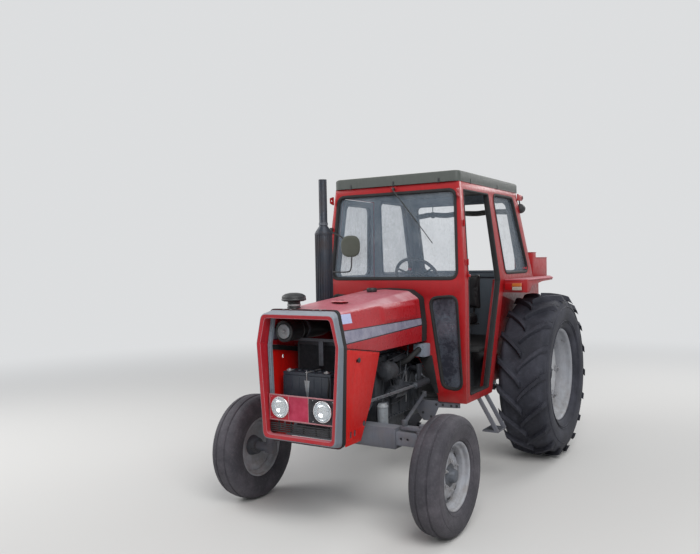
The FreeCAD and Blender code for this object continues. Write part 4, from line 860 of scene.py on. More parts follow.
front_half = [(0.0, 0.3933), (0.030, 0.3912), (0.034, 0.3815), (0.040, 0.3815), (0.044, 0.3890), (0.070, 0.3835), (0.088, 0.3715),
              (0.099, 0.350), (0.1040, 0.325), (0.1046, 0.300), (0.092, 0.245), (0.083, 0.229), (0.070, 0.2243)]
front_profile = softened([(-across, radius) for across, radius in reversed(front_half)] + front_half[1:], 0.006, 3)
front_profile = front_profile + [(0.0, 0.2243)]


def front_wheel(side):
    word = "left" if side > 0 else "right"
    centre = front_hub

    def turn(mesh):
        return flipped(mesh) if side < 0 else mesh

    shapes = [lathe(front_profile + front_profile[:1], centre, (1, 0, 0), 96)]
    for radius, offset in ((0.247, 0.0925), (0.335, 0.1022)):
        shapes.append(lathe([(offset - 0.004, radius - 0.003), (offset + 0.0022, radius), (offset - 0.004, radius + 0.003),
                             (offset - 0.007, radius), (offset - 0.004, radius - 0.003)], centre, (1, 0, 0), 96))
    Piece().add(front_rubber, *[turn(mesh) for mesh in shapes]).ride(
        "front_tread_" + word, "wheel_front_" + word, "front_rubber", ("front_tyre_" + word,), 30)

    rim_profile = softened([
        (-0.070, 0.2237), (-0.0755, 0.2237), (-0.0755, 0.214), (-0.066, 0.207), (-0.045, 0.2055), (-0.034, 0.190),
        (0.004, 0.186), (0.034, 0.190), (0.045, 0.2055), (0.066, 0.207), (0.0755, 0.214), (0.0755, 0.2237),
        (0.070, 0.2237)], 0.005, 3) + [(0.055, 0.216), (0.035, 0.212), (0.0, 0.198), (-0.035, 0.212)]
    disc_profile = softened([
        (-0.006, 0.190), (-0.010, 0.178), (0.004, 0.158), (0.020, 0.140), (0.026, 0.120), (0.026, 0.076),
        (0.019, 0.070), (0.013, 0.076), (0.013, 0.122), (0.006, 0.142), (-0.008, 0.158), (-0.018, 0.176),
        (-0.014, 0.192)], 0.006, 3)
    hub_profile = softened([
        (-0.042, 0.0362), (-0.042, 0.060), (-0.020, 0.066), (0.024, 0.080), (0.028, 0.070), (0.036, 0.052),
        (0.052, 0.046), (0.068, 0.040), (0.074, 0.028), (0.0755, 0.0)], 0.004, 3)
    silver = [lathe(rim_profile + rim_profile[:1], centre, (1, 0, 0), 96),
              lathe(disc_profile + disc_profile[:1], centre, (1, 0, 0), 72)]
    hub = lathe(hub_profile + [(0.031, 0.0), (0.031, 0.0362), (-0.042, 0.0362)], centre, (1, 0, 0), 48)
    nuts = repeated(ring_tree, hex_nut(0.011, 0.016), bare_steel, around(centre + Vector((0.0265, 0, 0)), (1, 0, 0)),
                    Count=6, Radius=0.096)
    slot_cover = box_shape((-0.012, -0.020, 0.0105), (0.012, 0.020, 0.013), 0.001)
    slots = repeated(ring_tree, slot_cover, black_plastic, around(centre + Vector((0.003, 0, 0)), (1, 0, 0)),
                     Count=8, Radius=0.1475)
    piece = Piece().add(silver_rim, *[turn(mesh) for mesh in silver]).add(grey_iron, turn(hub))
    piece.add(bare_steel, turn(nuts)).add(black_plastic, turn(slots))
    piece.ride("front_wheel_" + word, "wheel_front_" + word, "silver_rim", ("front_rim_" + word,))


for side in (1, -1):
    front_wheel(side)

# %% [markdown]
# ## The bonnet
# The bonnet is one pressed sheet: a nearly flat top, a sharp crease, a long shoulder and a short upright side.
# It widens and rises towards the cab, so it is lofted from three measured sections. A pressed bulge swells out of
# the rear shoulder. The silver stripe and the blank label are paint, so they are drawn in the material.

# %% Bonnet sections
def smooth_step(value, low, high):
    share = min(1.0, max(0.0, (value - low) / (high - low)))
    return share * share * (3 - 2 * share)


bonnet_stations = [
    # ahead, lip, shoulder, crease, crown, ridge: each a half width and a height
    (1.567, (0.308, 1.170), (0.312, 1.300), (0.288, 1.500), (0.200, 1.560), (0.0, 1.570)),
    (2.224, (0.308, 1.172), (0.310, 1.284), (0.272, 1.486), (0.205, 1.510), (0.0, 1.530)),
    (2.651, (0.304, 1.238), (0.306, 1.262), (0.254, 1.464), (0.212, 1.474), (0.0, 1.480)),
]


def bonnet_corners(ahead):
    """Half section at a distance, between the measured ones."""
    near, far = (bonnet_stations[0:2] if ahead <= bonnet_stations[1][0] else bonnet_stations[1:3])
    share = (ahead - near[0]) / (far[0] - near[0])
    return [tuple(a + (b - a) * share for a, b in zip(one, other)) for one, other in zip(near[1:], far[1:])]


def bonnet_half(ahead, inset):
    lip, shoulder, crease, crown, ridge = bonnet_corners(ahead)
    corners = [(lip[0] - 0.014, lip[1] + 0.001), lip, shoulder, crease, crown, ridge]
    filled = []
    for index, (one, other) in enumerate(zip(corners, corners[1:])):
        for step in range(4 if index in (2, 4) else 1):
            share = step / (4 if index in (2, 4) else 1)
            filled.append(tuple(a + (b - a) * share for a, b in zip(one, other)))
    points = softened(filled + [corners[-1]], 0.016, 3)
    result = []
    for x, z in points:
        swell = 0.013 * smooth_step(ahead, 1.630, 1.665) * (1 - smooth_step(ahead, 2.130, 2.180))
        swell *= smooth_step(z, 1.350, 1.376) * (1 - smooth_step(z, 1.455, 1.485)) * (1 if x > 0.2 else 0)
        scale = 1 - inset / max(x, 0.05) if x > inset else 1
        drop = inset if x < 0.22 else inset * 0.5
        result.append(((x + swell) * scale if x > 0.02 else x, z - (drop if z > crown[1] - 0.08 else 0)))
    return result


def bonnet_ring(ahead):
    outer = bonnet_half(ahead, 0.0)
    inner = bonnet_half(ahead, 0.003)
    outside = [(x, z) for x, z in outer] + [(-x, z) for x, z in outer[-2::-1]]
    inside = [(x, z) for x, z in inner] + [(-x, z) for x, z in inner[-2::-1]]
    return [at(x, ahead, z) for x, z in outside + inside[::-1]]


def folded(ring):
    """The end of the sheet: its outer and inner points meet half way."""
    return [(one + other) / 2 for one, other in zip(ring, reversed(ring))]


bonnet_rings = [bonnet_ring(1.567 + (2.651 - 1.567) * step / 72) for step in range(73)]
bonnet_skin = loft([folded(bonnet_rings[0])] + bonnet_rings + [folded(bonnet_rings[-1])], caps=False)
print("bonnet rings", len(bonnet_rings), "of", len(bonnet_rings[0]), "points")

# %% [markdown]
# ## Stripe and label in paint
# A band on the side runs level with the bonnet, silver between two dark lines. Its height depends on how far
# ahead a point lies, so its mask compares the height with a sloping line. The label is a blank pale rectangle.

# %% Bonnet paint
def bonnet_finish():
    paint = old_paint("bonnet_paint", (0.34, 0.004, 0.008), (0.52, 0.18, 0.22), (0.30, 0.16, 0.17), gloss=0.2, fade=0.95,
                      low_dirt=0.0)
    ahead = rear_axle_y - paint.axis("Y")
    height = paint.axis("Z")
    side = abs(paint.axis("X")).spread(0.262, 0.266)
    low = height - 1.262 - (2.66 - ahead) * 0.0295
    high = (2.66 - ahead) * 0.0018 + 1.354 - height
    band = low.spread(0.0, 0.0012) * high.spread(0.0, 0.0012) * side
    core = low.spread(0.0075, 0.009) * high.spread(0.006, 0.0075) * band
    wear = paint.noise(24.0, 5.0).spread(0.62, 0.70)
    # Painted highlight: a pale pink streak on the fillet between top and shoulder, where the crease catches the light.
    tilt = paint.node("ShaderNodeSeparateXYZ", {0: paint.node("ShaderNodeTexCoord", output="Normal")}, output="Z")
    crease = tilt.spread(0.50, 0.72) * (1 - tilt.spread(0.90, 0.985)) * paint.noise(7.0).spread(0.25, 0.6)
    colour = paint.mix(crease * 0.75, paint.colour(), (0.68, 0.42, 0.44))
    colour = paint.mix(band * (1 - wear * 0.5), colour, (0.018, 0.012, 0.018))
    silver = paint.mix(paint.noise(18.0).spread(0.35, 0.7), (0.17, 0.165, 0.225), (0.27, 0.26, 0.32))
    colour = paint.mix(core * (1 - wear * 0.35), colour, silver)
    label = ((ahead - 2.532).spread(0.0, 0.001) * (2.652 - ahead).spread(0.0, 0.001) * (height - 1.392).spread(0.0, 0.001)
             * (1.455 - height).spread(0.0, 0.001) * paint.axis("X").spread(0.20, 0.21))
    colour = paint.mix(label * 0.92, colour, (0.40, 0.47, 0.68))
    return paint.set(Base_Color=colour).material


bonnet_paint = bonnet_finish()
print("bonnet paint has", len(bonnet_paint.node_tree.nodes), "nodes")

# %% [markdown]
# ## Bonnet fittings
# The filler cap stands on the crown, a small flap covers the radiator neck, and a rubber seal runs round the rear
# edge. Two barrels at the front carry the bonnet on the surround's pins.

# %% Bonnet piece
fuel_cap = lathe(softened([(-0.006, 0), (-0.006, 0.036), (0.006, 0.040), (0.020, 0.040), (0.026, 0.034), (0.027, 0.012),
                           (0.022, 0.010), (0.022, 0.0)], 0.003), at(-0.023, 1.75, 1.563), (0, 0, 1), 40)
flap = lathe(softened([(-0.004, 0.0), (-0.004, 0.062), (0.004, 0.058), (0.008, 0.040), (0.009, 0.0)], 0.004), at(0.067, 2.350, 1.5195),
             (0, 0.04, 1), 40)
flap_slot = box_shape(at(0.037, 2.356, 1.5262), at(0.097, 2.344, 1.5302), 0.0015)
seal_rings = []
for ahead, grow in ((1.567, -0.004), (1.572, 0.004), (1.560, 0.0065), (1.530, 0.006), (1.4985, 0.009), (1.4950, 0.007),
                    (1.4965, 0.003), (1.530, 0.000), (1.560, -0.002)):
    half = [(x + grow * 0.8 * min(1, x / 0.1), z + grow * min(1.0, max(0.0, (z - 1.3) * 6))) for x, z in bonnet_half(1.567, 0.0)]
    seal_rings.append([at(x, ahead, z) for x, z in half + [(-x, z) for x, z in half[-2::-1]]])
rear_seal = loft(seal_rings, closed=False, looped=True)
barrels = []
for middle in (-0.12, 0.12):
    barrels.append(lathe([(-0.020, 0.0031), (-0.020, 0.0055), (0.020, 0.0055), (0.020, 0.0031), (-0.020, 0.0031)],
                         at(middle, 2.650, 1.480), (1, 0, 0), 20))
    barrels.append(box_shape(at(middle - 0.02, 2.645, 1.4725), at(middle + 0.02, 2.610, 1.4755), 0.0008))
piece = Piece().add(bonnet_paint, bonnet_skin).add(black_plastic, fuel_cap).add(black_rubber, rear_seal)
piece.add(bonnet_paint, flap).add(black_plastic, flap_slot).add(bare_steel, *barrels)
bonnet = piece.ride("bonnet_sheet", "bonnet", "red_paint", ("bonnet",), 32)

# %% Pre-cleaner
cleaner_low, cleaner_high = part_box("pre_cleaner")
foot = Vector(((cleaner_low.x + cleaner_high.x) / 2, (cleaner_low.y + cleaner_high.y) / 2, cleaner_low.z))
bowl = lathe(softened([(0, 0), (0, 0.046), (0.008, 0.047), (0.010, 0.043), (0.046, 0.043), (0.050, 0.060), (0.054, 0.0835),
                       (0.064, 0.0838), (0.068, 0.081), (0.080, 0.082), (0.088, 0.076), (0.099, 0.058), (0.1055, 0.030),
                       (0.1058, 0.0)], 0.004), foot, (0, 0, 1), 64)
vane = box_shape((-0.010, -0.0012, 0.0), (0.008, 0.0012, 0.018), 0.0004)
vanes = repeated(ring_tree, vane, black_plastic, around(foot + Vector((0, 0, 0.049)), (0, 0, 1)), Count=24, Radius=0.062)
clip = lathe(softened([(0.0185, 0.0432), (0.0185, 0.0462), (0.030, 0.0462), (0.030, 0.0432), (0.0185, 0.0432)], 0.001), foot,
             (0, 0, 1), 48)
Piece().add(black_plastic, bowl, vanes).add(bare_steel, clip).ride("pre_cleaner_bowl", "bonnet", "dark_paint",
                                                                     ("pre_cleaner",))

# %% [markdown]
# ## The nose surround
# A pressed frame runs round the nose: its outer band is silver, its front lip is red with thin pale pink lines along
# its two edges, painted highlights where the rounded edges catch the light, and its inner wall goes deep behind the
# lip.
# It is one loft of rounded six-sided rings, each drawn in and set back a little.
# The black rubber behind it is a second, thinner ring.

# %% Nose rings
nose_silver = old_paint("nose_silver", (0.17, 0.20, 0.235), (0.30, 0.31, 0.34), (0.05, 0.035, 0.03), gloss=0.42).material
lip_red = old_paint("lip_red", (0.36, 0.010, 0.018), (0.46, 0.14, 0.17), (0.42, 0.22, 0.24), gloss=0.4).material
# Pale pink paint for the painted highlights along the lip's edges.
worn_pink = old_paint("worn_pink", (0.42, 0.12, 0.15), (0.50, 0.30, 0.32), (0.24, 0.16, 0.17), gloss=0.5).material
nose_face = ((0.287, 0.627), (0.3305, 1.258), (0.288, 1.460))
trim_face = ((0.290, 0.600), (0.312, 1.248), (0.264, 1.484))


def nose_loop(face, inset, ahead, corner=0.045, share=0.0, other=None):
    """One ring of the surround; share blends towards a second face."""
    (bx, bz), (sx, sz), (tx, tz) = face
    if other:
        (obx, obz), (osx, osz), (otx, otz) = other
        bx, bz, sx, sz, tx, tz = (a + (b - a) * share for a, b in
                                  zip((bx, bz, sx, sz, tx, tz), (obx, obz, osx, osz, otx, otz)))
    half = [(bx - inset, bz + inset), (sx - inset, sz), (tx - inset, tz - inset)]
    loop = half + [(-x, z) for x, z in reversed(half)]
    return [at(x, ahead, z) for x, z in rounded(loop, corner - inset / 2, 8)]


nose_front, nose_back = 2.781, 2.685
band_back, band_front = 2.704, 2.771
outer_band = []
for step in range(7):
    ahead = band_back + (band_front - band_back) * step / 6
    outer_band.append(nose_loop(trim_face, 0.0, ahead, share=(ahead - nose_back) / (nose_front - nose_back), other=nose_face))
band_edge = [nose_loop(nose_face, inset, ahead) for inset, ahead in ((0.0005, 2.7745), (0.0022, 2.7785), (0.006, 2.7805))]
front_lip = [nose_loop(nose_face, inset, ahead) for inset, ahead in
             ((0.006, 2.7805), (0.0085, 2.781), (0.012, 2.7795), (0.022, 2.7775), (0.0265, 2.7765), (0.0292, 2.7745),
              (0.030, 2.771), (0.030, 2.7365), (0.028, 2.736), (0.017, 2.736))]
inner_wall = [nose_loop(nose_face, 0.017, 2.736), nose_loop(trim_face, 0.016, nose_back), nose_loop(trim_face, 0.016, 2.6575),
              nose_loop(trim_face, 0.0135, 2.6575), nose_loop(trim_face, 0.0135, nose_back), nose_loop(trim_face, 0.0, band_back)]
# Thin pale pink lines along the lip's outer and inner edges: painted highlights where the rounded edges catch the
# light.
lip_highlight_lines = [curve_mesh([nose_loop(nose_face, inset, ahead)], True, dimensions="3D", bevel_depth=0.0016, bevel_resolution=1)
              for inset, ahead in ((0.0068, 2.7790), (0.0287, 2.7746))]
channel = [loft([[at(side * (x + across), ahead, z) for across, ahead in ((0.0, 2.706), (0.006, 2.708), (0.010, 2.702), (0.014, 2.702),
                                                                        (0.018, 2.708), (0.024, 2.706), (0.024, 2.684), (0.0, 2.684))]
                 for x, z in ((0.251, 0.756), (0.268, 1.240), (0.232, 1.448))]) for side in (-1, 1)]
silver_part = loft(outer_band + band_edge, caps=False)
red_part = loft(front_lip + inner_wall[1:], caps=False)
straps = []
for middle in (-0.12, 0.12):
    for end in (-0.028, 0.028):
        x = middle + end
        straps.append(box_shape(at(x - 0.006, 2.654, 1.4843), at(x + 0.006, 2.715, 1.4873), 0.0008))
        straps.append(box_shape(at(x - 0.006, 2.660, 1.478), at(x + 0.006, 2.6525, 1.4873), 0.0008))
    straps.append(lathe([(-0.034, 0), (-0.034, 0.003), (0.034, 0.003), (0.034, 0)], at(middle, 2.650, 1.480), (1, 0, 0), 16))
piece = Piece().add(nose_silver, silver_part).add(lip_red, red_part)
piece.add(nose_silver, *channel).add(worn_pink, *lip_highlight_lines).add(bare_steel, *straps)
piece.ride("nose_surround_frame", "chassis", "red_paint", ("nose_surround",), 40)
trim_rings = [nose_loop(trim_face, inset, ahead) for ahead, inset in
              ((2.657, 0.002), (2.661, -0.001), (2.670, -0.0025), (2.684, -0.003), (2.696, -0.004), (2.7015, -0.004), (2.7035, -0.001),
               (2.7035, 0.001), (2.690, 0.001), (2.6848, 0.001), (2.6848, 0.0125), (2.657, 0.0125))]
Piece().add(black_rubber, loft(trim_rings, looped=True)).ride("nose_rubber", "chassis", "rubber_seal", ("nose_trim",), 50)

# %% [markdown]
# ## Lamps and grille
# The lamp panel is a flat sheet in three colours: red, crimson in the middle, black round the left lamp. Thin pale
# beading edges it. Each headlamp is a polished bowl behind clear glass, so it shows bright and dark bands.
# The grille below is a row of slats from the row tree.

# %% Lamp panel
panel_face = 2.7357


def panel_finish():
    paint = old_paint("panel_paint", (0.42, 0.010, 0.022), (0.48, 0.10, 0.14), (0.36, 0.16, 0.18), low_dirt=0.2)
    x = paint.axis("X")
    middle = x.spread(-0.1052, -0.1048)
    colour = paint.mix(middle, paint.colour(), paint.mix(paint.noise(12.0).spread(0.3, 0.7), (0.34, 0.010, 0.04),
                                                        (0.47, 0.045, 0.10)))
    colour = paint.mix(x.spread(0.0538, 0.0542), colour, paint.mix(paint.noise(40.0).spread(0.4, 0.7),
                                                                  (0.010, 0.010, 0.013), (0.04, 0.036, 0.042)))
    return paint.set(Base_Color=colour).material


def circle_2d(x, z, radius, steps=40):
    return [(x + radius * math.cos(2 * math.pi * n / steps), z + radius * math.sin(2 * math.pi * n / steps))
            for n in range(steps)]


panel_plane = facing(at(0, panel_face - 0.004, 0), (0, -1, 0))
panel_loop = rounded([(-0.262, 0.748), (0.262, 0.748), (0.262, 0.918), (-0.262, 0.918)], 0.004, 2)
panel_sheet = plate(panel_loop, 0.005, panel_plane, [circle_2d(-0.17, 0.836, 0.0662), circle_2d(0.17, 0.836, 0.0662)])
beads = []
for z in (0.750, 0.916):
    beads.append(box_shape(at(-0.262, panel_face, z - 0.0045), at(0.262, panel_face - 0.006, z + 0.0045), 0.0015))
beads.append(box_shape(at(-0.107, panel_face - 0.0005, 0.754), at(-0.103, panel_face - 0.004, 0.912), 0.0006))
beads.append(box_shape(at(0.052, panel_face - 0.0005, 0.754), at(0.056, panel_face - 0.004, 0.912), 0.0006))
beads.append(box_shape(at(-0.262, panel_face - 0.0002, 0.752), at(-0.257, panel_face - 0.004, 0.914), 0.0006))
beads.append(box_shape(at(0.257, panel_face - 0.0002, 0.752), at(0.262, panel_face - 0.004, 0.914), 0.0006))
screw_row = [lathe([(0, 0), (0, 0.0042), (0.0018, 0.0036), (0.0022, 0)], at(x, panel_face - 0.003, z), (0, -1, 0), 12)
             for x in (-0.245, 0.245, 0.09) for z in (0.765, 0.902)]
bead_paint = old_paint("bead_paint", (0.40, 0.16, 0.18), (0.48, 0.28, 0.30), (0.5, 0.4, 0.4)).material
Piece().add(panel_finish(), panel_sheet).add(bead_paint, *beads).add(bare_steel, *screw_row).ride(
    "lamp_panel_sheet", "chassis", "red_paint", ("lamp_panel",))

# %% Headlamps
mirror_chrome = Paint("mirror_chrome", Base_Color=(0.80, 0.82, 0.84), Metallic=1.0)
mirror_chrome.set(Roughness=mirror_chrome.noise(60.0).spread(0.35, 0.75) * 0.12 + 0.12)
mirror_chrome = mirror_chrome.relief(mirror_chrome.noise(9.0, 1.0), 0.0001).material
lamp_glass = pane_glass("lamp_glass", (0.62, 0.68, 0.70), 0.10, 0.18)


def headlamp(side):
    centre = at(side * 0.17, 2.6767, 0.836)
    bowl = [(0.0, 0.0), (-0.004, 0.030), (0.028, 0.0625), (0.044, 0.0655), (0.060, 0.0655), (0.060, 0.0712), (0.066, 0.0715),
            (0.070, 0.0685), (0.0705, 0.0645)]
    reflector = [(0.0685, 0.0635), (0.055, 0.0625), (0.040, 0.054), (0.026, 0.040), (0.016, 0.024), (0.013, 0.010),
                 (0.030, 0.008), (0.032, 0.0)]
    ring = softened([(0.060, 0.0655), (0.060, 0.0712), (0.0655, 0.0718), (0.071, 0.0690), (0.0715, 0.0640), (0.068, 0.0635),
                     (0.064, 0.0650), (0.060, 0.0655)], 0.0015, 2)
    lens = softened([(0.0670, 0.0632), (0.0695, 0.0625), (0.0730, 0.040), (0.0735, 0.0), (0.0715, 0.0), (0.0710, 0.038),
                     (0.0675, 0.0620)], 0.002, 2)
    word = "left" if side > 0 else "right"
    piece = Piece().add(black_plastic, lathe(bowl[:6] + [(0.044, 0.0640), (0.028, 0.060), (0.0, 0.030), (0.002, 0.0)], centre,
                                             (0, -1, 0), 48))
    piece.add(mirror_chrome, lathe(reflector, centre, (0, -1, 0), 64)).add(chrome, lathe(ring, centre, (0, -1, 0), 64))
    piece.add(lamp_glass, lathe(lens, centre, (0, -1, 0), 64))
    return piece.ride("headlamp_" + word, "chassis", "lamp_glass", ("headlamps",) if side > 0 else (), 45)


for side in (1, -1):
    headlamp(side)

# %% Lower grille
slat = loft([[at(x, 2.7335 - depth, 0.668 + z) for depth, z in
              ((0.0, 0.002), (0.001, 0.0072), (0.0035, 0.0085), (0.014, 0.0055), (0.0155, 0.003), (0.014, 0.0015),
               (0.003, 0.0))] for x in (-0.260, 0.260)])
slats = repeated(row_tree, slat, black_plastic, Matrix.Identity(4), Count=5, Step=(0, 0, 0.013))
posts = [box_shape(at(x - 0.006, 2.7180, 0.666), at(x + 0.006, 2.7115, 0.740), 0.001) for x in (-0.2, -0.1, 0, 0.1, 0.2)]
mesh_wires = repeated(row_tree, box_shape(at(-0.2595, 2.7105, 0.667), at(-0.2580, 2.7090, 0.739), 0.0003), black_plastic,
                      Matrix.Identity(4), Count=52, Step=(0.01, 0, 0))
Piece().add(black_plastic, slats, mesh_wires, *posts).ride("grille_slats", "chassis", "black_grille", ("lower_grille",))

# %% [markdown]
# ## Cheeks
# Two flat panels close the nose below the bonnet. They are plates with holes, leaning in towards the bottom,
# brighter than the bonnet because the sun hasn't bleached them.

# %% Cheeks
cheek_red = old_paint("cheek_red", (0.52, 0.005, 0.003), (0.44, 0.02, 0.02), (0.10, 0.05, 0.04), fade=0.3, low_dirt=0.12).material
cheek_loop = rounded([(2.657, 0.602), (2.657, 1.232), (2.224, 1.164), (2.337, 0.835), (2.461, 0.602)], 0.010, 4)
holes = [circle_2d(2.523, 1.144, 0.012, 20), circle_2d(2.421, 0.712, 0.019, 24)]
for ahead in (2.590, 2.540):
    holes.append([(ahead - 0.0095, 0.650), (ahead + 0.0095, 0.650), (ahead + 0.0095, 0.690), (ahead - 0.0095, 0.690)])


def cheek(side):
    """Local X is ahead and local Y is up, so the plate stands on the tractor's side."""
    lean = math.radians(2.0)
    matrix = Matrix(((0, math.sin(lean), math.cos(lean), 0.280 - 0.602 * math.sin(lean) + 0.0030),
                     (-1, 0, 0, rear_axle_y), (0, math.cos(lean), -math.sin(lean), 0.602 * (1 - math.cos(lean))), (0, 0, 0, 1)))
    sheet = plate([tuple(point) for point in cheek_loop], 0.0022, matrix, holes, 0.0007)
    edge = curve_mesh([[matrix @ Vector((*point, 0.0)) for point in cheek_loop[7:14]]], False, bevel_depth=0.0022,
                      dimensions="3D", bevel_resolution=2)
    bolts = [lathe([(0, 0), (0, 0.017), (0.004, 0.017), (0.006, 0.013), (0.004, 0.009), (0.009, 0.008), (0.010, 0)],
                   matrix @ Vector((2.500, 1.146, 0.001)), (1, 0, 0), 24)]
    strip = loft([[at(x - inward, ahead, z) for x, z in ((0.2935, low), (0.3025, low), (0.3025, high), (0.2935, high))]
                  for ahead, low, high, inward in ((2.655, 1.205, 1.2392, 0), (2.228, 1.140, 1.1730, 0.0024))])
    piece = Piece()
    for finish, meshes in ((cheek_red, (sheet, edge)), (black_plastic, bolts), (black_rubber, (strip,))):
        piece.add(finish, *[mesh if side > 0 else flipped(mesh) for mesh in meshes])
    word = "left" if side > 0 else "right"
    return piece.ride("cheek_" + word, "chassis", "red_paint", ("side_panels",) if side > 0 else ())


for side in (1, -1):
    cheek(side)

# %% [markdown]
# ## Behind the nose
# Through the open nose one sees the battery on its tray, the air cleaner above it and the radiator at the back.
# These are dusty black and blue-grey, with a few bright ends: terminals, the clamp, the canister's cap.

# %% Battery
battery_low, battery_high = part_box("battery")
tray = battery_low.z
case = box_shape((battery_low.x + 0.014, battery_low.y + 0.011, tray + 0.012),
                 (battery_high.x - 0.014, battery_high.y - 0.011, tray + 0.235), 0.006)
lid = box_shape((battery_low.x + 0.015, battery_low.y + 0.012, tray + 0.236), (battery_high.x - 0.015, battery_high.y - 0.012,
                                                                           tray + 0.256), 0.005)
tray_box = box_shape((battery_low.x, battery_low.y, tray), (battery_high.x, battery_high.y, tray + 0.011), 0.002)
cell_width = (battery_high.x - battery_low.x - 0.06) / 6
rib = box_shape((battery_low.x + 0.03, battery_low.y + 0.0085, tray + 0.03), (battery_low.x + 0.034, battery_low.y + 0.013,
                                                                             tray + 0.225), 0.0012)
ribs = repeated(row_tree, rib, battery_plastic, Matrix.Identity(4), Count=7, Step=(cell_width, 0, 0))
plug = lathe(softened([(0, 0), (0, 0.016), (0.007, 0.0155), (0.010, 0.012), (0.010, 0)], 0.002),
             (battery_low.x + 0.055, battery_low.y + 0.075, tray + 0.256), (0, 0, 1), 20)
plugs = repeated(row_tree, plug, battery_plastic, Matrix.Identity(4), Count=6, Step=(0.055, 0, 0))
metal_parts = []
for x in (battery_low.x + 0.055, battery_high.x - 0.055):
    foot = Vector((x, battery_low.y + 0.033, tray + 0.254))
    metal_parts.append(lathe(softened([(0, 0), (0, 0.011), (0.020, 0.0095), (0.0205, 0)], 0.001), foot, (0, 0, 1), 20))
    metal_parts.append(box_shape(foot + Vector((-0.016, -0.012, 0.004)), foot + Vector((0.016, 0.016, 0.014)), 0.002))
clamp_x = -0.030
clamp = plate([(clamp_x - 0.022, 1.005), (clamp_x + 0.022, 1.005), (clamp_x + 0.006, 0.875), (clamp_x - 0.004, 0.875)], 0.002,
              facing(Vector((0, battery_low.y + 0.0075, 0)), (0, -1, 0)))
rod_clamp = lathe([(0, 0), (0, 0.0028), (0.26, 0.0028), (0.26, 0)], (clamp_x, battery_low.y + 0.006, tray + 0.012), (0, 0, 1), 12)
bridge = box_shape((clamp_x - 0.008, battery_low.y + 0.002, tray + 0.258), (clamp_x + 0.008, battery_high.y - 0.004, tray + 0.262), 0.001)
cable = tube([(battery_high.x - 0.055, battery_low.y + 0.030, tray + 0.262), (battery_high.x - 0.030, battery_low.y + 0.020, tray + 0.258),
              (battery_high.x - 0.020, battery_low.y + 0.004, tray + 0.18), (battery_high.x - 0.040, battery_low.y + 0.004, tray + 0.10),
              (battery_high.x - 0.012, battery_low.y + 0.020, tray + 0.03), (battery_high.x - 0.004, battery_low.y + 0.070, tray + 0.006)], 0.006)
Piece().add(battery_plastic, case, lid, ribs, plugs).add(grey_iron, tray_box).add(bare_steel, rod_clamp, bridge, *metal_parts).add(
    pale_tin, clamp).add(black_rubber, cable).ride("battery_case", "chassis", "battery_case", ("battery",))

# %% Air cleaner
cleaner_low, cleaner_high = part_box("air_cleaner")
drum_radius = 0.0735
drum_x, drum_z = (cleaner_low.x + cleaner_high.x) / 2, cleaner_high.z - drum_radius - 0.0005
front_end = Vector((drum_x, cleaner_low.y, drum_z))
drum = lathe(softened([(0.012, 0.0), (0.012, 0.050), (0.006, 0.056), (0.0005, 0.066), (0.008, 0.0735), (0.040, 0.0735),
                       (0.041, 0.070), (0.150, 0.070), (0.151, 0.0735), (0.163, 0.0735), (0.164, 0.070), (0.400, 0.070),
                       (0.470, 0.068), (0.488, 0.055), (0.489, 0.0)], 0.003), front_end, (0, 1, 0), 64)
cap = lathe(softened([(0.012, 0.050), (0.004, 0.049), (0.0025, 0.040), (0.0035, 0.020), (0.008, 0.012), (0.009, 0.0)], 0.002),
            front_end, (0, 1, 0), 48)
wing = [lathe([(-0.001, 0), (-0.001, 0.009), (0.006, 0.011), (0.010, 0.011), (0.010, 0)], front_end, (0, 1, 0), 6)]
band = lathe(softened([(0.205, 0.0702), (0.205, 0.0728), (0.228, 0.0728), (0.228, 0.0702), (0.205, 0.0702)], 0.001), front_end,
             (0, 1, 0), 64)
saddle = box_shape((drum_x - 0.030, front_end.y + 0.205, cleaner_low.z), (drum_x + 0.030, front_end.y + 0.228, drum_z - 0.060), 0.002)
duct = tube([(drum_x, front_end.y + 0.440, drum_z), (drum_x + 0.01, front_end.y + 0.478, drum_z - 0.004),
             (drum_x + 0.05, front_end.y + 0.485, drum_z - 0.012), (drum_x + 0.16, front_end.y + 0.480, drum_z - 0.03)], 0.026)
Piece().add(black_plastic, drum).add(pale_tin, cap).add(bare_steel, *wing).add(grey_iron, saddle, band).add(black_rubber, duct).ride(
    "air_cleaner_drum", "chassis", "dark_paint", ("air_cleaner",), 40)

# %% Radiator
radiator_low, radiator_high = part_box("radiator")
core_front = radiator_low.y + 0.008
core_top = 1.235
fin = box_shape((radiator_low.x + 0.012, core_front + 0.0015, 0.808), (radiator_low.x + 0.0132, core_front + 0.060, core_top - 0.012), 0.0002)
fins = repeated(row_tree, fin, cast_iron, Matrix.Identity(4), Count=112, Step=(0.004, 0, 0))
water_tube = box_shape((radiator_low.x + 0.008, core_front + 0.006, 0.820), (radiator_high.x - 0.008, core_front + 0.056, 0.8225), 0.0006)
water_tubes = repeated(row_tree, water_tube, cast_iron, Matrix.Identity(4), Count=34, Step=(0, 0, 0.0118))
frame_parts = [box_shape((radiator_low.x, core_front, 0.8003), (radiator_low.x + 0.012, core_front + 0.068, core_top), 0.002),
               box_shape((radiator_high.x - 0.012, core_front, 0.8003), (radiator_high.x, core_front + 0.068, core_top), 0.002),
               box_shape((radiator_low.x, core_front, 0.8003), (radiator_high.x, core_front + 0.068, 0.820), 0.002),
               box_shape((radiator_low.x + 0.010, core_front - 0.008, 1.222), (radiator_high.x - 0.010, core_front + 0.076, 1.250), 0.008)]
neck = lathe(softened([(0, 0), (0, 0.026), (0.040, 0.026), (0.041, 0.031), (0.056, 0.031), (0.060, 0.026), (0.060, 0)], 0.002),
             (0.090, radiator_high.y - 0.092, 1.2495), (0, 0, 1), 32)
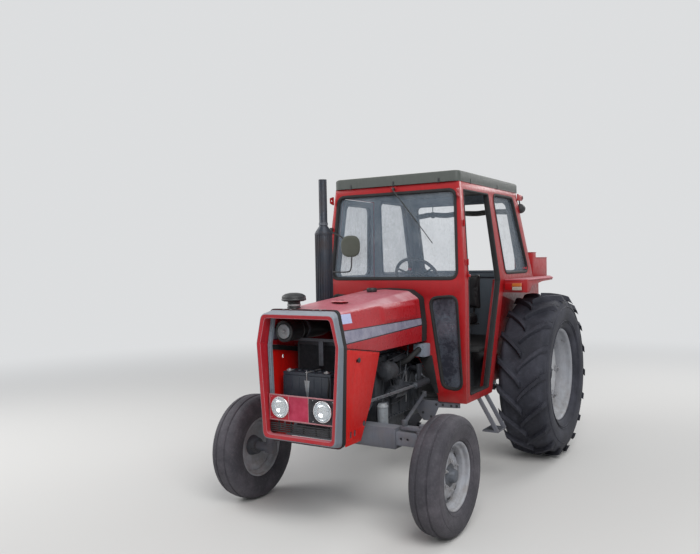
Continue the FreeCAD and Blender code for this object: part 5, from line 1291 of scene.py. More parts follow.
cowl = lathe(softened([(0.0, 0.197), (0.0, 0.205), (0.070, 0.205), (0.072, 0.212), (0.072, 0.218), (0.0715, 0.197), (0.0, 0.197)], 0.002),
             at(0, 2.300, 1.010), (0, -1, 0), 72)
crossbar = box_shape(at(-0.250, 2.500, 1.254), at(0.262, 2.482, 1.2745), 0.003)
post = box_shape(at(-0.018, 2.498, 1.088), at(0.018, 2.484, 1.256), 0.003)
Piece().add(cast_iron, fins, water_tubes, *frame_parts, cowl).add(grey_iron, neck, crossbar, post).ride(
    "radiator_core", "chassis", "radiator_core", ("radiator",))

# %% [markdown]
# ## Engine
# The engine is open to the side and black with grease. The casting keeps its solid form with rounded edges, and on
# it come the things that make it busy: head bolts, core plugs, fuel pipes, a water hose and wires. A heater duct on
# the cab's wall takes warm air from beside it.

# %% Engine block
side_x = 0.1705
head_bolts = nuts([at(x, 1.56 + n * 0.088, 1.1705 - 0.085) for n in range(6) for x in (-0.150, 0.150)], (0, 0, 1), 0.018)
core_plugs = [lathe(softened([(0, 0), (0, 0.024), (0.004, 0.024), (0.004, 0.019), (0.0015, 0.017), (0.001, 0.0)], 0.001),
                    at(side_x - 0.001, 1.60 + n * 0.14, 0.93), (1, 0, 0), 24) for n in range(3)]
sump_bolt = box_shape(at(side_x - 0.002, 1.52, 0.628), at(side_x + 0.010, 1.5335, 0.640), 0.002)
sump_bolts = repeated(row_tree, sump_bolt, cast_iron, Matrix.Identity(4), Count=13, Step=(0, -0.042, 0))
cover_edge = box_shape(at(-0.128, 2.030, 1.084), at(0.128, 1.530, 1.094), 0.003)
dipstick = tube([at(0.178, 1.60, 0.70), at(0.186, 1.60, 0.85), at(0.184, 1.61, 1.02)], 0.004)
water_hose = tube([at(0.030, 2.062, 1.120), at(0.030, 2.12, 1.150), at(0.034, 2.20, 1.175), at(0.036, 2.30, 1.180),
                   at(0.036, 2.371, 1.180)], 0.024)
hose_clips = [lathe([(-0.006, 0.0235), (-0.006, 0.0262), (0.006, 0.0262), (0.006, 0.0235), (-0.006, 0.0235)], at(x, ahead, z), (0, 1, 0.1),
                    24) for x, ahead, z in ((0.030, 2.085, 1.131), (0.036, 2.352, 1.180))]
dress("engine_block", "chassis", "greasy_engine", cast_iron, 0.003, (bare_steel, head_bolts[0]),
      *[(grey_iron, mesh) for mesh in head_bolts[1:] + core_plugs + hose_clips], (cast_iron, sump_bolts), (cast_iron, cover_edge),
      (bare_steel, dipstick), (black_rubber, water_hose))

# %% Engine fittings
pipes = []
for n in range(3):
    pipes.append(tube([at(0.232, 1.800 + n * 0.030, 0.878), at(0.238, 1.800 + n * 0.030, 0.935), at(0.215, 1.76 + n * 0.085, 0.985),
                       at(0.190, 1.70 + n * 0.125, 1.030), at(0.172, 1.68 + n * 0.130, 1.060)], 0.0034))
feed_pipes = [tube([at(0.276, 2.145, 0.800), at(0.272, 2.135, 0.842), at(0.250, 2.05, 0.850), at(0.236, 1.965, 0.842)], 0.005),
              tube([at(0.205, 1.60, 1.150), at(0.225, 1.66, 1.02), at(0.245, 1.75, 0.92), at(0.236, 1.80, 0.86)], 0.006)]
bright_pipe = tube([at(0.236, 2.005, 1.065), at(0.248, 1.955, 1.050), at(0.252, 1.90, 1.028)], 0.011)
loom = [tube([at(0.180, 1.52, 1.100), at(0.200, 1.70, 1.085), at(0.232, 1.86, 1.080), at(0.222, 1.98, 1.068)], 0.0045),
        tube([at(0.186, 1.52, 0.985), at(0.226, 1.66, 0.955), at(0.240, 1.78, 0.958), at(0.250, 1.93, 0.940)], 0.0050),
        tube([at(0.186, 1.53, 0.900), at(0.216, 1.62, 0.780), at(0.220, 1.74, 0.735), at(0.206, 1.90, 0.742)], 0.0060)]
canister = lathe(softened([(0.0, 0.0), (0.0, 0.034), (0.012, 0.0385), (0.120, 0.0385), (0.124, 0.041), (0.134, 0.041), (0.138, 0.034),
                           (0.152, 0.030), (0.158, 0.0)], 0.003), at(0.276, 2.145, 0.644), (0, 0, 1), 40)
fittings = dress("engine_ancillaries", "chassis", "engine_fittings", grey_iron, 0.0015, *[(bare_steel, mesh) for mesh in pipes],
                 *[(black_rubber, mesh) for mesh in feed_pipes + loom], (pale_tin, bright_pipe), (pale_tin, canister))
refinish(fittings, cast_iron, lambda middle, out: middle.z > 0.815 or middle.x < 0.24)
refinish(fittings, rusty_iron, lambda middle, out: middle.x < -0.13 and middle.z > 0.95)

# %% [markdown]
# ## Tank, gearbox and steering
# The tank is blue-grey under the bonnet's rear. The castings below are dark and oily with rows of bolts. The
# steering ram has two finishes: a black barrel, and a polished rod that slides in it.

# %% Tank and castings
tank = dress("fuel_tank", "chassis", "dark_paint", inner_paint, 0.008)
case_bolts = nuts([at(x, 1.2995, z) for x in (-0.155, 0.155) for z in (0.62, 0.70, 0.78, 0.86)], (0, -1, 0), 0.017)
case_bolts += nuts([at(0.1655, ahead, z) for ahead in (0.42, 0.70, 1.15) for z in (0.66, 0.88)], (1, 0, 0), 0.02)
dress("transmission_case", "chassis", "dark_casting", cast_iron, 0.005, *[(grey_iron, mesh) for mesh in case_bolts])
hub_bolts = []
for side in (1, -1):
    matrix = around(at(side * 0.592, 0, 0.770), (side, 0, 0))
    bolt = box_shape((-0.007, -0.007, 0.0), (0.007, 0.007, 0.010), 0.002)
    hub_bolts.append(repeated(ring_tree, bolt, grey_iron, matrix, Count=8, Radius=0.112))
lift_bolts = nuts([at(x, ahead, 1.0205) for x in (-0.145, 0.145) for ahead in (-0.18, -0.09, 0.0, 0.09, 0.145)], (0, 0, 1), 0.018)
dress("rear_axle_housing", "chassis", "dark_casting", cast_iron, 0.004, *[(grey_iron, mesh) for mesh in hub_bolts + lift_bolts])

# %% Steering ram
rod_steel = Paint("rod_steel", Base_Color=(0.36, 0.38, 0.41), Metallic=0.7)
rod_steel = rod_steel.set(Roughness=rod_steel.noise(12.0).spread(0.3, 0.7) * 0.25 + 0.22).material
barrel_line = (at(0.305, 1.700, 0.852) - at(0.307, 1.486, 0.856)).normalized()
gland = lathe(softened([(0.0, 0.012), (0.0, 0.0275), (0.022, 0.0275), (0.026, 0.018), (0.030, 0.012), (0.0, 0.012)], 0.002),
              at(0.3052, 1.678, 0.8525), barrel_line, 32)
rod_hoses = [tube([at(0.300, 1.505, 0.880), at(0.276, 1.53, 0.915), at(0.230, 1.51, 0.935), at(0.205, 1.42, 0.93)], 0.008),
             tube([at(0.300, 1.660, 0.877), at(0.282, 1.64, 0.905), at(0.240, 1.56, 0.915), at(0.205, 1.42, 0.895)], 0.008)]
ram = dress("steering_ram", "chassis", "ram_steel", rod_steel, 0.001, (grey_iron, gland), *[(black_rubber, mesh) for mesh in rod_hoses])
refinish(ram, cast_iron, lambda middle, out: rear_axle_y - middle.y < 1.703 and middle.z < 0.9 and middle.x > 0.25)
refinish(ram, grey_iron, lambda middle, out: middle.x < 0.285 and (rear_axle_y - middle.y > 2.30 or rear_axle_y - middle.y < 1.7))

# %% Heater duct
duct_box = box_shape(at(0.238, 1.4805, 1.052), at(0.338, 1.580, 1.152), 0.012)
duct_flap = plate([(0.228, 1.056), (0.352, 1.056), (0.403, 0.766), (0.376, 0.766)], 0.003,
                  facing(at(0, 1.4822, 0), (0, -1, 0)))
duct_hose = tube([at(0.288, 1.575, 1.110), at(0.286, 1.620, 1.100), at(0.262, 1.665, 1.060), at(0.215, 1.690, 1.020),
                  at(0.160, 1.695, 1.000)], 0.022)
duct_screws = nuts([at(x, 1.5805, z) for x in (0.250, 0.326) for z in (1.066, 1.138)], (0, -1, 0), 0.008)
Piece().add(duct_grey, duct_box).add(black_rubber, duct_flap, duct_hose).add(bare_steel, *duct_screws).ride(
    "heater_duct", "chassis", "grey_frame")

# %% Front axle
dress("front_support", "chassis", "grey_frame", grey_paint, 0.004)
dress("front_axle_beam", "chassis", "grey_frame", grey_paint, 0.004)
for side in ("left", "right"):
    dress("knuckle_" + side, "knuckle_" + side, "grey_frame", grey_paint, 0.002)
    dress("drag_link_" + side, "drag_link_" + side, "link_steel", grey_iron, 0.001)
    dress("drop_arm_" + side, "drop_arm_" + side, "dark_casting", cast_iron, 0.002)

# %% [markdown]
# ## Cab shell
# The cab is folded sheet, welded round the openings. Its outside is red, its inside blue-grey, so each frame keeps its
# solid form and its faces get a finish by the way they look. Black rubber sections hold the panes: each is a flat
# band that is lofted round its window.

# %% Window loops
belt, rise = 1.617, 0.783
cab_front, cab_half, tumblehome = 1.480, 0.630, 0.069
corner = 0.065


def up_the_screen(x, z, out=0.0):
    return at(x, cab_front - 0.080 * (z - belt) / rise + out, z)


def up_the_side(ahead, z, side, out=0.0):
    return at(side * (cab_half - tumblehome * max(z - belt, 0) / rise + out), ahead, z)


def up_the_back(x, z, out=0.0):
    return at(x, -0.200 + 0.270 * (z - belt) / rise - out, z)


def grown(points, by):
    """The loop pushed out from its middle by about that much."""
    middle = (sum(p[0] for p in points) / len(points), sum(p[1] for p in points) / len(points))
    return [tuple(value + by * math.copysign(1, value - centre) for value, centre in zip(point, middle)) for point in points]


def window_seal(points, stand, width=0.012, wall=0.040, radius=corner):
    """Rubber round an opening: a lip outside, a lip inside, and the groove that holds the pane between them."""
    proud = 0.0045
    outer = [(width, -0.002), (width, proud * 0.6), (width * 0.7, proud), (-width * 0.3, proud), (-width * 0.8, proud * 0.3),
             (-width, -0.006)]
    section = outer + [(out, -wall - height) for out, height in reversed(outer)]
    rings = []
    for out, height in section:
        loop = rounded(grown(points, out), radius + out, 10)
        rings.append([stand(point[0], point[1], height) for point in loop])
    return loft(rings, looped=True)


screen_window = [(-0.566, 1.652), (0.566, 1.652), (0.528, 2.335), (-0.528, 2.335)]
low_left = [(0.335, 1.500), (0.560, 1.520), (0.598, 0.800), (0.438, 0.815)]
quarter_window = [(0.555, 1.672), (0.690, 2.345), (0.190, 2.345), (-0.075, 1.672)]
rear_opening = [(-0.500, 1.672), (0.500, 1.672), (0.468, 2.330), (-0.468, 2.330)]
screen_seal = window_seal(screen_window, up_the_screen, 0.013)
low_seals = [window_seal([(side * x, z) for x, z in low_left], lambda x, z, out: at(x, cab_front + out, z), 0.011)
             for side in (1, -1)]

# %% Front frame
front_frame = dress("cab_front_frame", "chassis", "red_paint", cab_red, 0.003, (black_rubber, screen_seal),
                    *[(black_rubber, seal) for seal in low_seals])
refinish(front_frame, inner_paint, lambda middle, out: out.y > 0.7 and rear_axle_y - middle.y < 1.4445)

# %% Side frames
door_loop = [(1.400, 0.760), (1.400, 1.617), (1.327, 2.335), (0.805, 2.335), (0.715, 1.617), (1.020, 0.760)]
hinge_leaves = []
for z in (1.775, 2.074):
    hinge_leaves.append(box_shape(up_the_side(1.436, z - 0.022, 1, -0.0005), up_the_side(1.404, z + 0.022, 1, 0.007), 0.0015))
    hinge_leaves.append(lathe([(-0.024, 0), (-0.024, 0.0065), (0.024, 0.0065), (0.024, 0)], up_the_side(1.398, z, 1, 0.009),
                              (0, 0, 1), 16))
striker = [box_shape(up_the_side(1.412, 1.640, 1, -0.001), up_the_side(1.402, 1.705, 1, 0.010), 0.002),
           box_shape(up_the_side(1.420, 1.660, 1, 0.004), up_the_side(1.396, 1.682, 1, 0.020), 0.003)]


def door_seal(side):
    """The doorway's rubber, on the wall's outer edge."""
    return window_seal(door_loop, lambda ahead, z, out: up_the_side(ahead, z, side, out - 0.001), 0.007, 0.038, 0.015)


for side, word in ((1, "left"), (-1, "right")):
    seal = window_seal(quarter_window, lambda ahead, z, out: up_the_side(ahead, z, side, out), 0.012)
    extras = [(black_rubber, seal)]
    if side > 0:
        extras += [(black_rubber, door_seal(side))] + [(cab_red, mesh) for mesh in hinge_leaves + striker]
    frame_piece = dress("cab_side_" + word, "chassis", "red_paint", cab_red, 0.003, *extras)
    refinish(frame_piece, inner_paint, lambda middle, out: out.x * side < -0.7 and abs(middle.x) < 0.6)
rear_seal_band = window_seal(rear_opening, up_the_back, 0.012)
rear_frame = dress("cab_rear_frame", "chassis", "red_paint", cab_red, 0.003, (black_rubber, rear_seal_band))
refinish(rear_frame, inner_paint, lambda middle, out: out.y < -0.5)

# %% Right door
door_front_run = [(1.322, 1.660), (1.267, 2.285), (0.850, 2.285), (0.778, 1.660)]
door_low_run = [(1.331, 1.560), (1.331, 0.860), (1.060, 0.860), (0.815, 1.560)]
door_bands = [window_seal(run, lambda ahead, z, out: up_the_side(ahead, z, -1, out), 0.010, 0.036) for run in (door_front_run, door_low_run)]
handle = [lathe(softened([(0, 0), (0, 0.024), (0.006, 0.024), (0.010, 0.014), (0.030, 0.010), (0.031, 0)], 0.002),
                up_the_side(1.345, 1.600, -1, 0.0), (-1, 0, 0), 24),
          tube([up_the_side(1.345, 1.600, -1, 0.026), up_the_side(1.320, 1.600, -1, 0.030), up_the_side(1.275, 1.598, -1, 0.030),
                up_the_side(1.245, 1.596, -1, 0.026)], 0.007)]
door = dress("door_right", "door_right", "red_paint", cab_red, 0.0025, *[(black_rubber, mesh) for mesh in door_bands],
             *[(black_plastic, mesh) for mesh in handle])
refinish(door, inner_paint, lambda middle, out: out.x > 0.7)

# %% Glass
panes = dress("cab_glass", "chassis", "window_glass", window_glass, 0)
refinish(panes, dirty_glass, lambda middle, out: middle.z < 1.55)
dress("door_glass", "door_right", "window_glass", window_glass, 0)

# %% [markdown]
# ## Roof and deck
# The roof is a grey-green moulding with a drip edge and small clips. The decks over the rear wheels are folded
# sheet: their front lips are rolled thick. The decks' tops and lips are a paler pink, a painted reflection of the sky.

# %% Roof
roof_low, roof_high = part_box("roof")
front_y, rear_y = roof_low.y, roof_high.y
half_x = roof_high.x
edge_loop = rounded([(half_x + 0.0, front_y), (half_x, rear_y), (-half_x, rear_y), (-half_x, front_y)], 0.05, 8)
drip = []
for out, z in ((0.001, 2.4005), (-0.002, 2.4125), (-0.006, 2.4135), (-0.006, 2.4005)):
    drip.append([Vector((x * (1 + out / half_x), y + out * math.copysign(1, y - (front_y + rear_y) / 2), z)) for x, y in edge_loop])
clips = []
for x in (-0.40, 0.0, 0.40):
    clips.append(box_shape((x - 0.007, front_y - 0.0035, 2.395), (x + 0.007, front_y + 0.004, 2.432), 0.0015))
for y in (front_y + 0.25, front_y + 0.85):
    for side in (1, -1):
        clips.append(box_shape((side * (half_x + 0.003), y - 0.007, 2.395), (side * (half_x - 0.004), y + 0.007, 2.432), 0.0015))
crown = []
for inset, z in ((0.0, 2.4002), (0.0, 2.466), (0.003, 2.476), (0.012, 2.483), (0.05, 2.488), (0.12, 2.4915), (0.20, 2.4918)):
    loop = rounded([(half_x - inset, front_y + inset), (half_x - inset, rear_y - inset), (inset - half_x, rear_y - inset),
                    (inset - half_x, front_y + inset)], 0.05, 8)
    crown.append([Vector((x, y, z)) for x, y in loop])
Piece().add(roof_paint, loft(crown), loft(drip, looped=True)).add(black_plastic, *clips).ride(
    "roof_cap", "chassis", "roof_panel", ("roof",), 30)

# %% Decks
deck = dress("fenders", "chassis", "red_paint", cab_red, 0.002)
# Upward faces of the decks get the paler pink: a painted sky reflection.
refinish(deck, pink_deck, lambda middle, out: out.z > 0.7 and middle.z > 1.60)
# The rolled lips carry the same paler pink, a painted reflection along the decks' outer edges.
lips = []
for side in (1, -1):
    lips.append(tube([at(side * 0.632, 0.590, 1.612), at(side * 0.800, 0.590, 1.612), at(side * 0.818, 0.575, 1.612),
                      at(side * 0.824, 0.545, 1.612), at(side * 0.824, 0.30, 1.612), at(side * 0.824, -0.16, 1.612)], 0.0075))
Piece().add(pink_deck, *lips).ride("deck_lips", "chassis", "red_paint")

# %% [markdown]
# ## Inside the cab
# Through the glass one sees the wheel, the instrument post, the levers and the seat. The post and the floor keep
# their solid form, and the wheel's rim is turned again so that it is round.

# %% Controls and floor
hub_at = at(0.0, 1.000, 1.6476)
column_axis = (hub_at - at(0.0, 1.260, 1.4706)).normalized()
wheel_rim = lathe([(0.0138 * math.sin(math.pi * n / 8), 0.195 + 0.0138 * math.cos(math.pi * n / 8)) for n in range(17)], hub_at,
                  column_axis, 96)
hub_cap = lathe(softened([(0.006, 0.0), (0.006, 0.041), (0.018, 0.036), (0.026, 0.022), (0.027, 0.0)], 0.004), hub_at, column_axis, 40)
dial_face = facing(at(0, 1.2495, 1.4700), (0, 1, 0.10))
dials = []
for x, size in ((-0.110, 0.042), (0.0, 0.052), (0.110, 0.042)):
    centre = dial_face @ Vector((-x, 0.018, 0.0))
    dials.append((black_plastic, lathe(softened([(-0.003, size - 0.006), (-0.003, size), (0.008, size), (0.009, size - 0.006)], 0.002)
                                       + [(-0.003, size - 0.006)], centre, (0, 1, 0.10), 40)))
    dials.append((chrome, lathe([(-0.001, 0.0), (-0.001, size - 0.005), (0.003, size - 0.005), (0.003, 0.0)], centre, (0, 1, 0.10), 40)))
knobs = [lathe(softened([(-0.004, 0.0), (-0.004, 0.010), (0.008, 0.019), (0.024, 0.020), (0.036, 0.010), (0.037, 0.0)], 0.005),
               at(x, 0.700, 1.296), (0, 0, 1), 32) for x in (-0.06, 0.06)]
boots = [lathe(softened([(0.0, 0.0), (0.0, 0.045), (0.012, 0.045), (0.018, 0.034), (0.030, 0.036), (0.036, 0.024), (0.048, 0.025),
                         (0.056, 0.012), (0.058, 0.007)], 0.003) + [(0.058, 0.0)], at(x, 0.700, 1.0475), (0, 0, 1), 32)
         for x in (-0.06, 0.06)]
dress("dash_console", "chassis", "console_plastic", console_paint, 0.004, (black_plastic, wheel_rim), (black_plastic, hub_cap),
      *dials, *[(pale_knob, mesh) for mesh in knobs], *[(black_rubber, mesh) for mesh in boots])
pedals = []
for x in (-0.10, 0.10, 0.18):
    pedals.append(box_shape(at(x - 0.028, 1.205, 1.090), at(x + 0.028, 1.197, 1.160), 0.003))
    pedals.append(tube([at(x, 1.202, 1.110), at(x, 1.225, 1.075), at(x, 1.245, 1.046)], 0.006, smooth=False))
mat_rib = box_shape(at(-0.420, 0.925, 1.0470), at(0.420, 0.919, 1.0490), 0.0006)
mat_ribs = repeated(row_tree, mat_rib, black_rubber, Matrix.Identity(4), Count=12, Step=(0, 0.022, 0))
dress("cab_floor", "chassis", "floor_mat", black_rubber, 0.003, (black_rubber, mat_ribs),
      *[(grey_iron, mesh) for mesh in pedals])

# %% [markdown]
# ## Seat
# The seat is two vinyl cushions on a sprung box. A cushion is foam under a tight cover, so its faces crown and its
# sides pull in. Cloth simulation gives that: the shape is remeshed evenly, blown up for twenty frames without
# gravity, and how far each point may travel is capped. The sewn piping comes last and follows the swollen surface.

# %% Cushions
def swollen(low, high, reach):
    """A rounded box blown up like a pad, as a plain mesh."""
    rest = box_shape(low, high, 0.022)
    holder = bpy.data.objects.new("pad", rest)
    scene.collection.objects.link(holder)
    remesh = holder.modifiers.new("even", "REMESH")
    remesh.mode = "VOXEL"
    remesh.voxel_size = 0.008
    even = bpy.data.meshes.new_from_object(holder.evaluated_get(bpy.context.evaluated_depsgraph_get()))
    holder.modifiers.clear()
    holder.data = even
    flat = [vert.co.copy() for vert in even.vertices]
    cloth = holder.modifiers.new("cloth", "CLOTH")
    cloth.settings.use_pressure = True
    cloth.settings.uniform_pressure_force = 4.0
    cloth.settings.effector_weights.gravity = 0.0
    for step in range(1, 21):
        scene.frame_set(step)
    blown = bpy.data.meshes.new_from_object(holder.evaluated_get(bpy.context.evaluated_depsgraph_get()))
    holder.modifiers.clear()
    scene.frame_set(1)
    for vert, start in zip(blown.vertices, flat):
        move = vert.co - start
        if move.length > reach:
            vert.co = start + move * (reach / move.length)
    holder.data = blown
    finer = holder.modifiers.new("finer", "SUBSURF")
    finer.levels = finer.render_levels = 1
    pad = bpy.data.meshes.new_from_object(holder.evaluated_get(bpy.context.evaluated_depsgraph_get()))
    bpy.data.objects.remove(holder)
    return pad


def piping(pad, loop):
    """A sewn cord that lies on the pad's surface along a loop."""
    shape = bmesh.new()
    shape.from_mesh(pad)
    surface = BVHTree.FromBMesh(shape)
    points = [surface.find_nearest(point)[0] for point in loop]
    shape.free()
    return curve_mesh([points], True, dimensions="3D", bevel_depth=0.0034, bevel_resolution=2)


vinyl = Paint("seat_vinyl", Specular_IOR_Level=0.4)
vinyl_scuff = vinyl.noise(8.0).spread(0.45, 0.75)
vinyl.set(Base_Color=vinyl.mix(vinyl_scuff * 0.5, (0.014, 0.014, 0.016), (0.055, 0.052, 0.050)), Roughness=vinyl_scuff * 0.2 + 0.4)
vinyl_grain = vinyl.cells(420.0, feature="DISTANCE_TO_EDGE").spread(0.0, 0.25)
seat_vinyl = vinyl.relief(vinyl_grain * 0.6 + vinyl.noise(30.0) * 0.4, 0.0006).material


def cushion(name, low, high, reach, loops):
    pad = swollen(low, high, reach)
    seams = [piping(pad, [Vector(point) for point in loop]) for loop in loops]
    piece = Piece().add(seat_vinyl, pad, *seams).ride(name, "chassis", "seat_vinyl", ("seat",), 60)
    return piece


def level_loop(half, front, rear, z):
    return [at(x, ahead, z) for x, ahead in rounded([(half, front), (half, rear), (-half, rear), (-half, front)], 0.04, 12)]


def upright_loop(half, low, high, ahead):
    return [at(x, ahead, z) for x, z in rounded([(half, low), (half, high), (-half, high), (-half, low)], 0.04, 12)]


def divided(loop, step=0.012):
    """The loop with points at most a step apart, so that the piping follows the crown."""
    points = []
    for one, other in zip(loop, loop[1:] + loop[:1]):
        parts = max(1, int((other - one).length / step))
        points += [one.lerp(other, n / parts) for n in range(parts)]
    return points


cushion("seat_cushion", at(-0.222, 0.562, 1.192), at(0.222, 0.138, 1.272), 0.020,
        [divided(level_loop(0.215, 0.555, 0.145, 1.277)), divided(level_loop(0.225, 0.565, 0.135, 1.200))])
cushion("seat_back", at(-0.217, 0.106, 1.310), at(0.217, 0.056, 1.662), 0.020,
        [divided(upright_loop(0.208, 1.318, 1.654, 0.112)), divided(upright_loop(0.214, 1.314, 1.658, 0.052))])
pan = plate([tuple(p) for p in rounded([(-0.225, 0.568), (0.225, 0.568), (0.225, 0.125), (-0.225, 0.125)], 0.05, 6)], 0.006,
            Matrix(((1, 0, 0, 0), (0, -1, 0, rear_axle_y), (0, 0, -1, 1.186), (0, 0, 0, 1))))
spring_box = box_shape(at(-0.148, 0.478, 1.048), at(0.148, 0.182, 1.090), 0.008)
bellows = [box_shape(at(-0.140 + (n % 2) * 0.010, 0.470 - (n % 2) * 0.010, 1.090 + n * 0.0185),
                     at(0.140 - (n % 2) * 0.010, 0.190 + (n % 2) * 0.010, 1.1095 + n * 0.0185), 0.006) for n in range(5)]
back_bars = [tube([at(x, 0.200, 1.178), at(x, 0.100, 1.186), at(x, 0.048, 1.230), at(x, 0.044, 1.400)], 0.010) for x in (-0.13, 0.13)]
Piece().add(console_paint, pan, spring_box, *back_bars).add(black_rubber, *bellows).ride("seat_frame", "chassis", "console_plastic")

# %% [markdown]
# ## Rolled cover
# A canvas cover is rolled up under the rear window's head and tied with three straps. It is a real sheet: a spiral
# of two turns and a half, thin, and it sags between the straps.

# %% Canvas
canvas = Paint("canvas")
canvas_dust = canvas.noise(6.0).spread(0.4, 0.7)
canvas.set(Base_Color=canvas.mix(canvas_dust * 0.7, (0.060, 0.062, 0.060), (0.17, 0.165, 0.15)), Roughness=canvas_dust * 0.1 + 0.82)
weave = canvas.cells(700.0, feature="F1").spread(0.0, 0.8)
canvas = canvas.relief(weave * 0.4 + canvas.noise(18.0) * 0.9, 0.0022).material
roll_low, roll_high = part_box("rear_curtain")
roll_centre = (roll_low + roll_high) / 2
roll_turns, roll_thick, roll_steps = 2.5, 0.0016, 72


def roll_ring(x, sag, squeeze):
    outside, inside = [], []
    for step in range(roll_steps * 2 + 1):
        share = step / (roll_steps * 2)
        angle = share * roll_turns * 2 * math.pi
        radius = (0.010 + 0.021 * share) * squeeze
        for shift, side in ((roll_thick / 2, outside), (-roll_thick / 2, inside)):
            side.append(Vector((x, roll_centre.y + (radius + shift) * math.cos(angle),
                                roll_centre.z - sag + (radius + shift) * 0.92 * math.sin(angle))))
    return outside + inside[::-1]


rolls = []
strap_places = (-0.30, 0.02, 0.33)
for step in range(61):
    x = roll_low.x + 0.006 + (roll_high.x - roll_low.x - 0.012) * step / 60
    nearest = min(abs(x - place) for place in strap_places)
    tight = 1 - 0.16 * math.exp(-(nearest / 0.03) ** 2)
    sag = 0.014 * (1 - math.exp(-(nearest / 0.12) ** 2)) + 0.002 * math.sin(23 * x)
    rolls.append(roll_ring(x, sag, tight))
roll = Piece().add(canvas, loft(rolls)).ride("rolled_cover", "chassis", "canvas", ("rear_curtain",), 60)
straps = [lathe([(-0.011, 0.0275), (-0.011, 0.0305), (0.011, 0.0305), (0.011, 0.0275), (-0.011, 0.0275)],
                (x, roll_centre.y, roll_centre.z), (1, 0, 0), 32) for x in strap_places]
strap_tails = [tube([(x, roll_centre.y, roll_centre.z + 0.028), (x, roll_centre.y - 0.006, roll_centre.z + 0.055),
                     (x, roll_centre.y + 0.002, roll_centre.z + 0.088)], 0.004) for x in strap_places]
ties = Piece().add(canvas, *straps, *strap_tails).ride("cover_straps", "chassis", "canvas")

# %% [markdown]
# ## Outside fittings
# The small things that hang on the cab: mirror, wiper, lamps, brackets, steps and the tall exhaust. Each keeps or
# replaces its solid, and gets the parts too small for it, such as ribs, lenses, bolts and a wiper blade.

# %% Exhaust
stack_foot = at(-0.400, 1.840, 0)
shield_rib = box_shape((-0.0005, -0.0042, 0.0), (0.0045, 0.0042, 0.655), 0.0015)
shield = repeated(ring_tree, shield_rib, burnt_steel, around(stack_foot + Vector((0, 0, 1.352)), (0, 0, 1)), Count=22, Radius=0.0645)
bands = [lathe([(z, 0.0655), (z, 0.0700), (z + 0.014, 0.0700), (z + 0.014, 0.0655), (z, 0.0655)], stack_foot, (0, 0, 1), 48)
         for z in (1.338, 2.006)]
pipe_clamps = [lathe([(z, 0.0318), (z, 0.0355), (z + 0.020, 0.0355), (z + 0.020, 0.0318), (z, 0.0318)], stack_foot, (0, 0, 1), 40)
               for z in (1.282, 2.082)]
stack = dress("exhaust_stack", "chassis", "exhaust_steel", burnt_steel, 0.0015, *[(burnt_steel, mesh) for mesh in [shield] + bands],
              *[(grey_iron, mesh) for mesh in pipe_clamps])
refinish(stack, rusty_iron, lambda middle, out: middle.z < 1.27)

# %% Mirror and wiper
mirror_ahead = 1.504
oval = rounded([(-0.452, 1.832), (-0.452, 2.008), (-0.272, 2.008), (-0.272, 1.832)], 0.078, 14)
mirror_rings = []
for depth, inset in ((0.008, 0.022), (0.0075, 0.010), (0.004, 0.002), (-0.002, 0.0), (-0.006, 0.001), (-0.0075, 0.005),
                     (-0.0065, 0.009), (-0.0055, 0.012)):
    middle = Vector((-0.362, 1.920))
    mirror_rings.append([at(middle.x + (p.x - middle.x) * (1 - inset / 0.09), mirror_ahead + depth,
                            middle.y + (p.y - middle.y) * (1 - inset / 0.088)) for p in oval])
glass_rings = [mirror_rings[-1], [at(-0.362 + (p.x + 0.362) * 0.84, mirror_ahead - 0.0053, 1.920 + (p.y - 1.920) * 0.84) for p in oval]]
arms = [tube([at(-0.585, 1.476, 2.057), at(-0.560, 1.498, 2.050), at(-0.535, 1.504, 2.037), at(-0.440, 1.504, 2.004), at(-0.425, 1.504, 1.975)],
             0.0068),
        tube([at(-0.350, 1.504, 1.850), at(-0.352, 1.504, 1.800), at(-0.354, 1.506, 1.725), at(-0.380, 1.506, 1.706), at(-0.50, 1.504, 1.708),
              at(-0.575, 1.494, 1.712), at(-0.594, 1.480, 1.712)], 0.0058)]
feet = [box_shape(at(-0.598, 1.4365, 2.032), at(-0.572, 1.452, 2.082), 0.002), box_shape(at(-0.606, 1.4705, 1.695), at(-0.582, 1.485, 1.730), 0.002)]
olive = plastic("mirror_olive", (0.055, 0.060, 0.045), 0.6)
Piece().add(olive, loft(mirror_rings, caps=True)).add(chrome, loft(glass_rings)).add(black_plastic, *arms, *feet).ride(
    "mirror_oval", "chassis", "mirror_back", ("mirror",), 45)

wiper_top, wiper_end = up_the_screen(0.0, 2.370, 0.030), up_the_screen(0.350, 1.935, 0.018)
pivot = lathe(softened([(0.0, 0.0), (0.0, 0.013), (0.022, 0.011), (0.026, 0.0)], 0.002), up_the_screen(0.0, 2.372, 0.002), (0, -1, 0.1), 24)
arm = [tube([wiper_top, wiper_top.lerp(wiper_end, 0.3) + Vector((0, -0.002, 0)), wiper_top.lerp(wiper_end, 0.62)], 0.0048, smooth=False)]
blade_start, blade_stop = up_the_screen(0.085, 2.262, 0.0135), up_the_screen(0.360, 1.925, 0.0135)
blade = [tube([blade_start, blade_stop], 0.0035, smooth=False),
         tube([blade_start + Vector((0, 0.0035, 0)), blade_stop + Vector((0, 0.0035, 0))], 0.0022, smooth=False),
         tube([wiper_top.lerp(wiper_end, 0.60), up_the_screen(0.222, 2.093, 0.012)], 0.004, smooth=False)]
motor = box_shape(up_the_screen(-0.026, 2.364, 0.0005), up_the_screen(0.026, 2.392, 0.010), 0.003)
Piece().add(black_plastic, pivot, *arm, *blade).add(cab_red, motor).ride("wiper_arm", "chassis", "wiper_black", ("wiper",))

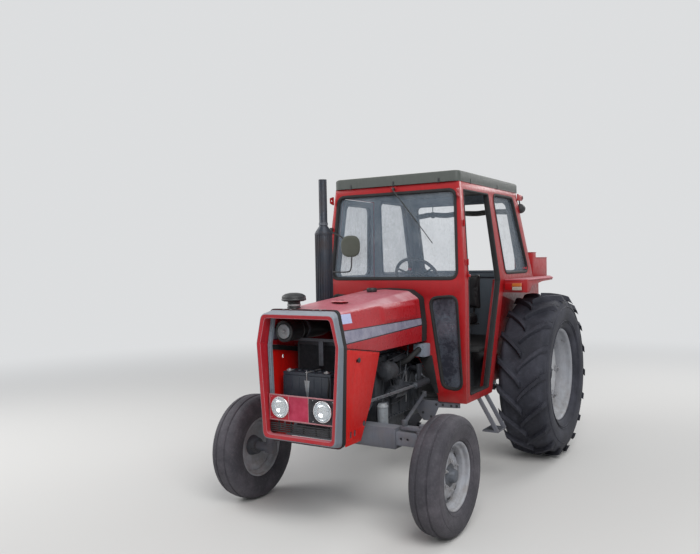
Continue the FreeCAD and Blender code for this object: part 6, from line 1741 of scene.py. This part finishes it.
# %% Lamps and brackets
lamp_parts = []
for side in (1, -1):
    for finish, low, high in ((amber_lens, 1.5565, 1.5865), (clear_lens, 1.5255, 1.5555)):
        lens = box_shape(at(side * 0.706, 0.6235, low), at(side * 0.7885, 0.6315, high), 0.004)
        lamp_parts.append((finish, lens))
lamps = dress("fender_lamps", "chassis", "lamp_lens", cab_red, 0.003, *lamp_parts)
bracket_parts = []
for side in (1, -1):
    ring = lathe([(-0.001, 0.011), (-0.001, 0.017), (0.012, 0.017), (0.012, 0.011), (-0.001, 0.011)], at(side * 0.568, -0.068, 2.363), (side, 0, 0), 24)
    stem = tube([at(side * 0.573, 0.010, 2.336), at(side * 0.573, 0.002, 2.312), at(side * 0.573, -0.010, 2.298)], 0.006)
    bowl = lathe(softened([(0.0, 0.0), (0.0, 0.020), (0.022, 0.040), (0.050, 0.046), (0.058, 0.044), (0.059, 0.040), (0.054, 0.038),
                           (0.053, 0.0)], 0.004), at(side * 0.573, 0.020, 2.268), (0, 1, -0.15), 32)
    bracket_parts += [(black_plastic, ring), (black_plastic, stem), (black_plastic, bowl)]
    plate_shape = plate([tuple(p) for p in rounded([(1.420, 2.270), (1.420, 2.345), (1.478, 2.330), (1.478, 2.285)], 0.010, 4)], 0.006,
                        Matrix(((0, 0, side, side * (up_the_side(1.4, 2.31, 1).x + 0.002)), (-1, 0, 0, rear_axle_y), (0, 1, 0, 0), (0, 0, 0, 1))),
                        [circle_2d(1.455, 2.308, 0.009, 20)])
    bracket_parts.append((cab_red, plate_shape))
dress("rear_lamps", "chassis", "lamp_lens", cab_red, 0.002, *bracket_parts)

# %% Steps
bracket_holes = [lathe([(0, 0), (0, 0.010), (0.002, 0.010), (0.0025, 0)], at(side * x, 1.4665, z), (0, -1, 0), 20)
                 for side in (1, -1) for x, z in ((0.375, 0.672), (0.43, 0.674), (0.50, 0.672), (0.545, 0.674), (0.33, 0.575), (0.26, 0.60))]
tread_bar_shape = box_shape(at(0.645, 1.188, 0.444), at(0.765, 1.184, 0.449), 0.001)
treads = repeated(row_tree, tread_bar_shape, grey_iron, Matrix.Identity(4), Count=12, Step=(0, 0.0155, 0))
dress("steps", "chassis", "grey_frame", grey_paint, 0.0025, (grey_iron, treads), (grey_iron, flipped(treads)),
      *[(black_plastic, mesh) for mesh in bracket_holes])

# %% Stowage box
box_parts = [box_shape(at(0.436, -0.322, 1.7985), at(0.624, -0.694, 1.8035), 0.002), box_shape(at(0.436, -0.221, 1.8485), at(0.624, -0.334, 1.8535), 0.002),
             tube([at(0.500, -0.6905, 1.72), at(0.500, -0.7085, 1.722), at(0.560, -0.7085, 1.722), at(0.560, -0.6905, 1.72)], 0.004)]
dress("stowage_box", "chassis", "red_paint", red_paint, 0.004, *[(red_paint, mesh) for mesh in box_parts[:2]], (bare_steel, box_parts[2]))

# %% [markdown]
# ## Hitch
# Behind the axle hang the two lower links, lifted by rods from the rocker's arms, and a flat drawbar. They are
# greasy iron with bright worn balls and pins.

# %% Links and drawbar
links = dress("lower_links", "lower_links", "link_steel", grey_iron, 0.002)
refinish(links, bare_steel, lambda middle, out: rear_axle_y - middle.y < -0.86)
dress("lift_arms", "lift_arms", "dark_casting", cast_iron, 0.003)
rods = dress("lift_rods", "lift_rods", "link_steel", grey_iron, 0.0015)
refinish(rods, bare_steel, lambda middle, out: 0.72 < middle.z < 0.90)
pin_head = [lathe(softened([(0, 0), (0, 0.030), (0.010, 0.030), (0.014, 0.020), (0.030, 0.018), (0.031, 0)], 0.003), at(0, -0.700, 0.4505), (0, 0, 1), 32)]
dress("drawbar", "chassis", "link_steel", cast_iron, 0.003, *[(bare_steel, mesh) for mesh in pin_head])
